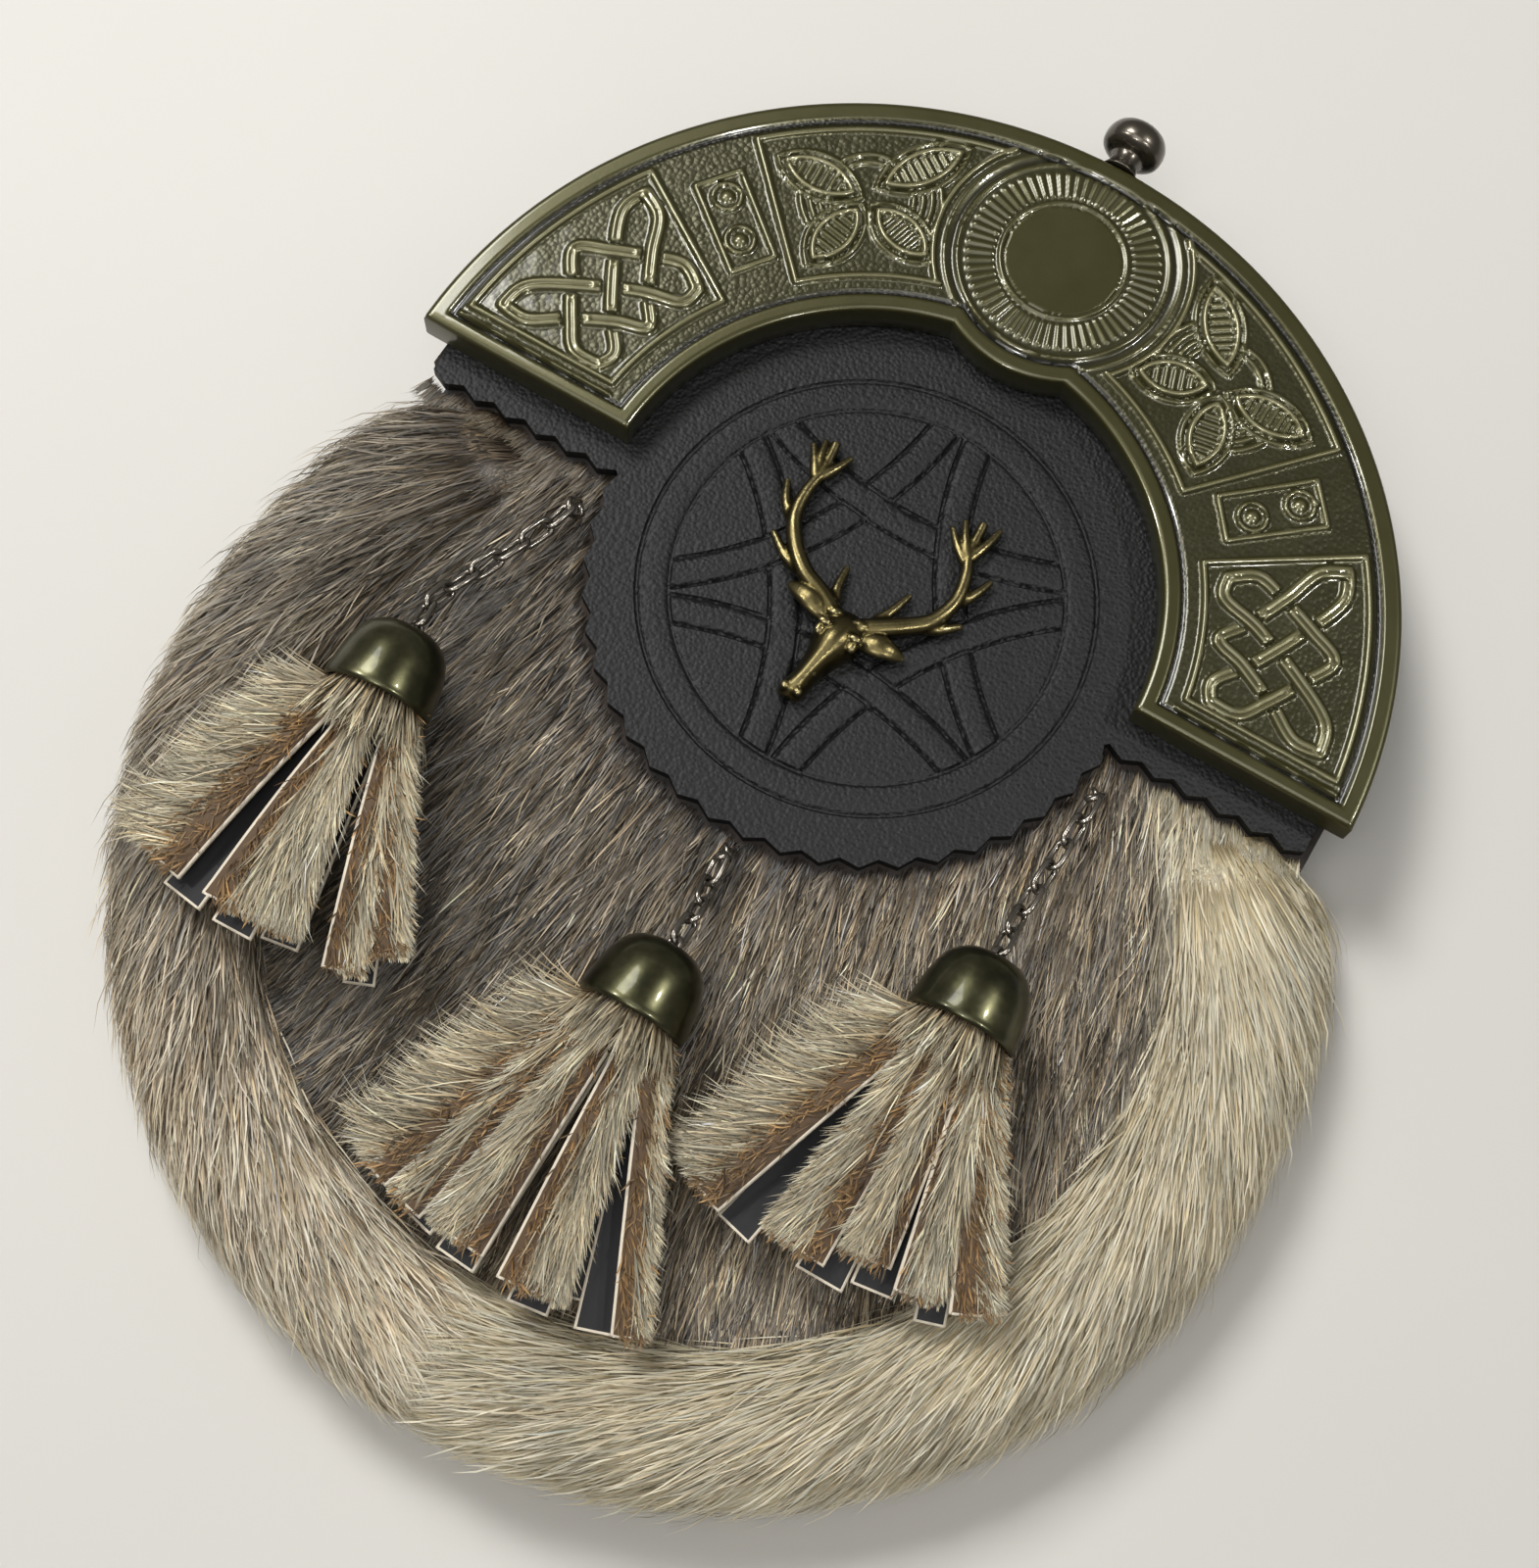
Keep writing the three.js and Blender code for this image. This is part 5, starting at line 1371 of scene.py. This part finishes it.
# Tassels
# Fans of strips cut from fur-on hide and bound inside the cup. Fur strips with pale hair over a golden-brown
# underfur lie above, and strips with their black flesh side up lie below. The cut edges show cream.
FUR, FLESH_UP = 2, 1
STRIP = {"root": 11.0, "reach": 53.5, "rim": 13.2, "rootHalf": 2.1, "rootSide": 5.0, "core": 0.75,
         "edge": 0.4, "nap": 0.6}
STRIP_LIE = {  # height above the cup's axis at the root, extra height of the tip, arch between them
    FUR: (1.3, 2.2, 1.6),
    FLESH_UP: (-1.3, 0.0, 0.5),
}
STRIP_STEPS = 16
HAIR_STEPS = 120  # places along a strip that hair grows from
STRIPS = {  # left and right edge at the tip, extra length, side shown, way that the hair is combed
    "left": ((-22.5, -14.5, -3.0, FUR, -1.0), (-9.8, 8.0, -1.2, FUR, 0.22), (12.0, 18.6, 0.2, FUR, 0.36),
             (20.0, 26.0, -5.0, FUR, 0.46), (-16.6, -9.2, 0.2, FLESH_UP, 0), (-12.3, -6.8, -4.8, FLESH_UP, 0),
             (-6.7, 0.2, 1.7, FLESH_UP, 0), (1.2, 7.4, 0.6, FLESH_UP, 0), (15.4, 20.4, 0.8, FLESH_UP, 0)),
    "centre": ((-24.4, -19.1, -1.4, FUR, -0.9), (-17.7, -11.6, 0.4, FUR, -0.3),
               (-10.3, -0.5, 1.0, FUR, -0.26), (2.4, 13.4, 2.0, FUR, 0.24),
               (21.3, 27.0, 0.4, FUR, 0.5), (-16.4, -9.0, 1.6, FLESH_UP, 0),
               (-7.4, -0.7, 3.8, FLESH_UP, 0), (5.0, 11.4, 4.4, FLESH_UP, 0), (11.0, 16.4, -0.2, FLESH_UP, 0),
               (15.4, 21.3, 2.4, FLESH_UP, 0)),
    "right": ((-25.0, -18.4, 0.2, FUR, -0.9), (-11.9, -0.9, 0.4, FUR, -0.34), (0.0, 8.5, -3.2, FUR, -0.22),
              (10.0, 17.3, -2.0, FUR, 0.04), (19.9, 28.0, -3.8, FUR, 0.55), (-18.2, -11.8, 2.4, FLESH_UP, 0),
              (-4.6, 3.2, 2.8, FLESH_UP, 0), (3.6, 10.4, 0.4, FLESH_UP, 0), (14.4, 19.4, 0.4, FLESH_UP, 0)),
}
HAIRS_PER_MM = 165  # of the strips' widths at the tip
NAP_PER_MM = 80
GUARD_HAIR = {"length": (8.0, 14.0), "width": (0.2, 0.34), "lift": 0.16}
NAP_HAIR = {"length": (1.6, 3.4), "width": (0.24, 0.36), "lift": 0.5}
TUFT_HAIRS = 700
TUFT = {"down": 11.5, "out": (4.5, 7.6), "length": (4.5, 11.0), "width": 0.28, "lift": 0.1}
BOUND_HEAD = ((6.2, 4.6), (8.0, 6.8), (11.0, 7.4), (12.6, 7.2))  # distance from the cup's top, radius
TASSEL_SEED = 31
TASSEL_COAT = ((98, 74, 44), (160, 147, 118), (204, 193, 166))
NAP_COAT = ((66, 48, 27), (116, 88, 52), (148, 118, 77))
UNDERFUR, CUT_EDGE, FLESH = (92, 68, 40), (238, 226, 204), (15, 14, 15)


def strip_frame(place, row, share):
    """Middle, half width, way along, way to the right and way out of a strip, at shares of its length."""
    left, right, extra, shown, _ = row
    axis = cup_axis(place["lean"])
    across = np.array([-axis[1], axis[0], 0.0])
    down = STRIP["root"] + (STRIP["reach"] + extra - STRIP["root"]) * share
    free = np.clip((down - STRIP["rim"]) / (STRIP["reach"] - STRIP["rim"]), 0, None)
    aim = (left + right) / 2
    start = np.clip(aim * 0.32, -STRIP["rootSide"], STRIP["rootSide"])
    half = STRIP["rootHalf"] + ((right - left) / 2 - STRIP["rootHalf"]) * free
    above, tip, arched = STRIP_LIE[shown]
    end = place["tipZ"] + tip - 0.05 * abs(aim)
    arch = arched * np.sin(math.pi * np.clip(free, 0, 1))
    sideways = start + (aim - start) * free
    middle = np.array([*place["apex"], 0.0]) + axis * down[:, None] + across * sideways[:, None]
    middle[:, 2] = CUP_Z + above + (end - CUP_Z - above) * free**1.2 + arch
    way = unit(np.gradient(middle, axis=0))
    out = unit(np.cross(np.broadcast_to(across, way.shape), way))
    out = unit(np.where(out[:, 2:] < 0, -out, out) + across * 0.008 * aim)
    return middle, half, way, unit(np.cross(out, way)), out


def strip_section(half, shown):
    """Points round a strip's section: across, up and colour. A fur strip wears an underfur on its top."""
    core, edge, nap = STRIP["core"], STRIP["edge"], STRIP["nap"]
    inner = half - edge
    spots = (-0.85, -0.4, 0.0, 0.4, 0.85)
    if shown == FUR:
        cover, heights = UNDERFUR, [core + nap * (1 - 0.6 * k * k) for k in spots]
    else:
        cover, heights = FLESH, [core - 0.05 for _ in spots]
    top = [(-half, core, CUT_EDGE), (-inner, core + 0.03, CUT_EDGE), (-inner + 0.03, core + 0.03, cover)]
    top += [(inner * k, height, cover) for k, height in zip(spots, heights)]
    top += [(inner - 0.03, core + 0.03, cover), (inner, core + 0.03, CUT_EDGE), (half, core, CUT_EDGE)]
    flesh_side = [(half, 0.0, CUT_EDGE), (half - 0.05, -0.03, FLESH)]
    flesh_side += [(0.05 - half, -0.03, FLESH), (-half, 0.0, CUT_EDGE)]
    return top + flesh_side


def strip_points(place, row):
    middle, half, way, right, out = strip_frame(place, row, np.linspace(0, 1, STRIP_STEPS + 1))
    sections = [strip_section(h, row[3]) for h in half]
    rings = []
    for place_on, to_right, up, section in zip(middle, right, out, sections):
        rings.append([place_on + to_right * a + up * u for a, u, _ in section])
    points = np.array(rings)
    colours = np.array([[linear(c) for *_, c in section] for section in sections])
    near_tip = [points[-1:] - way[-1] * back for back in (STRIP["edge"], STRIP["edge"] - 0.03)]
    points = np.concatenate([points[:-1], *near_tip, points[-1:]])
    cut = np.tile(linear(CUT_EDGE), (1, colours.shape[1], 1))
    colours = np.concatenate([colours, cut, cut])
    return points.reshape(-1, 3), tube_faces(*points.shape[:2]), colours.reshape(-1, 3)


def strip_hairs(draw, place, row, count, nap):
    """Guard hair combed away from one edge of a strip, or the short nap all over it."""
    extra, comb = row[2], row[4]
    hair = NAP_HAIR if nap else GUARD_HAIR
    share = np.linspace(0.03, 1, HAIR_STEPS)
    middle, half, way, sideways, out = strip_frame(place, row, share)
    spot = (np.clip(draw.beta(1.0, 0.95, count), 0, 0.985) * (HAIR_STEPS - 1)).astype(int)
    toward = -1.0 if comb < 0 else 1.0
    if nap:
        edge = draw.uniform(-0.86, 0.86, count)
        swing = toward * 0.35 + draw.normal(0, 0.5, count)
    else:
        edge = toward * (draw.beta(1.5, 1.0, count) * 1.5 - 0.55)
        swing = comb * (1.0 + draw.normal(0, 0.14, count)) + 0.1 * edge + draw.normal(0, 0.1, count)
    length, width = draw.uniform(*hair["length"], count), draw.uniform(*hair["width"], count)
    if not nap:
        room = (STRIP["reach"] + extra - STRIP["root"]) * (1 - share[spot]) / np.maximum(np.cos(swing), 0.3)
        length = np.minimum(length, np.maximum(room + 0.6, 2.0))
        if abs(comb) < 0.6:  # a middle strip's hair stops at its own edge
            span = half[spot] * (1 - np.sign(swing) * edge) + 0.5
            length = np.minimum(length, np.maximum(span / np.maximum(np.abs(np.sin(swing)), 0.05), 2.5))
    root = middle[spot] + sideways[spot] * (edge * half[spot])[:, None] + out[spot] * (STRIP["core"] + 0.3)
    along = unit(way[spot] * np.cos(swing)[:, None] + sideways[spot] * np.sin(swing)[:, None])
    lift = np.full(count, hair["lift"])
    return combed_hairs(draw, root, out[spot], along, length, width, lift, clump=0.45, hairs_in_lock=12)


def tuft(draw, place):
    """Short hair that stands out of the cup all round the strips."""
    axis = cup_axis(place["lean"])
    first, second = np.array([-axis[1], axis[0], 0.0]), np.array([0.0, 0.0, 1.0])
    turn = draw.uniform(-0.5, math.pi + 0.5, TUFT_HAIRS)[:, None]
    out = first * np.cos(turn) + second * np.sin(turn)
    top = np.array([*place["apex"], CUP_Z])
    root = top + axis * TUFT["down"] + out * draw.uniform(*TUFT["out"], (TUFT_HAIRS, 1))
    along = unit(axis + out * draw.normal(0.1, 0.12, (TUFT_HAIRS, 1)) + first * np.cos(turn) * 0.35)
    length = draw.uniform(*TUFT["length"], TUFT_HAIRS)
    width, lift = np.full(TUFT_HAIRS, TUFT["width"]), np.full(TUFT_HAIRS, TUFT["lift"])
    return combed_hairs(draw, root, out, along, length, width, lift, hairs_in_lock=9)


def tassel_head(place):
    """The bound roots of the strips, which fill the cup."""
    top = np.array([*place["apex"], CUP_Z])
    spine = [top + cup_axis(place["lean"]) * down for down, _ in BOUND_HEAD]
    rings = np.array(tube_rings(spine, [r for _, r in BOUND_HEAD], 24))
    points = rings.reshape(-1, 3)
    return points, tube_faces(*rings.shape[:2]), np.tile(linear(NAP_COAT[0]), (len(points), 1))


def tassel_mesh(side, seed):
    draw = np.random.default_rng(seed)
    place = TASSEL_PLACES[side]
    parts = [tassel_head(place)]
    hairs = [(*tuft(draw, place), TASSEL_COAT)]
    for row in STRIPS[side]:
        parts.append(strip_points(place, row))
        if row[3] == FUR:
            span = row[1] - row[0]
            hairs.append((*strip_hairs(draw, place, row, int(NAP_PER_MM * span), True), NAP_COAT))
            hairs.append((*strip_hairs(draw, place, row, int(HAIRS_PER_MM * span), False), TASSEL_COAT))
    for hair, lock, coat in hairs:
        dyed = coat_colours(draw, lock, linear(coat), 0.15, 0.16, 0.14)
        parts.append((hair.reshape(-1, 3), hair_faces(len(hair)), dyed.reshape(-1, 3)))
    starts = np.cumsum([0] + [len(p) for p, _, _ in parts])
    faces = np.concatenate([f + start for (_, f, _), start in zip(parts, starts)])
    points, colours = (np.concatenate([part[k] for part in parts]) for k in (0, 2))
    return triangle_mesh("tassel_strips_" + side, points, faces, colours)


strip_finish = fur_finish("strip_fur", 0.6, 0.25)
for number, side in enumerate(TASSEL_PLACES):
    tassel = tassel_mesh(side, TASSEL_SEED + number)
    new_piece("tassel_strips_" + side, tassel, strip_finish, ["tassel_" + side])

# Table and light
# The pouch lies on a plain pale table, under soft room light from the upper left.
PAPER = (229, 226, 219)
TABLE_HALF = 1.5  # metres, as are the sizes and places of the lamps
KEY = {"at": (-0.62, 0.36, 0.97), "size": 0.4, "power": 10.0}
FILL = {"at": (-0.05, -0.35, 1.2), "size": 0.7, "power": 3.8}
GLINTS = ((-0.05, -0.6, 0.75), (0.45, 0.3, 0.7), (-0.5, -0.1, 0.6), (0.5, -0.25, 0.7))  # small ceiling lamps
GLINT = {"size": 0.05, "power": 3.0}


def table_top():
    mesh = bpy.data.meshes.new("table")
    corners = [(x * TABLE_HALF, y * TABLE_HALF, 0) for x, y in ((-1, -1), (1, -1), (1, 1), (-1, 1))]
    mesh.from_pydata(corners, [], [(0, 1, 2, 3)])
    table = bpy.data.objects.new("table", mesh)
    bpy.context.scene.collection.objects.link(table)
    material, tree, shader = new_finish("pale_table", Roughness=0.8)
    stops = [(0.3, toned(PAPER, 0.985)), (0.7, PAPER)]
    feed(tree, shader, Base_Color=ramp(tree, noise(tree, 6.0, 2.0), stops))
    mesh.materials.append(material)


def soft_lamp(name, lamp):
    light = bpy.data.lights.new(name, "AREA")
    light.size = lamp["size"]
    light.energy = lamp["power"]
    piece = bpy.data.objects.new(name, light)
    place = Vector(lamp["at"])
    piece.location = place
    piece.rotation_euler = (-place).to_track_quat("-Z", "Y").to_euler()
    bpy.context.scene.collection.objects.link(piece)
    return piece


table_top()
soft_lamp("key_light", KEY)
soft_lamp("fill_light", FILL)
for i, spot in enumerate(GLINTS):
    soft_lamp("ceiling_lamp_" + str(i + 1), {"at": spot, **GLINT}).visible_diffuse = False
room = bpy.data.worlds.new("room")
room.use_nodes = True
walls = room.node_tree.nodes["Background"]
walls.inputs["Color"].default_value = (1.0, 0.98, 0.95, 1.0)
walls.inputs["Strength"].default_value = 0.2
bpy.context.scene.world = room
bpy.context.scene.view_settings.view_transform = "Standard"
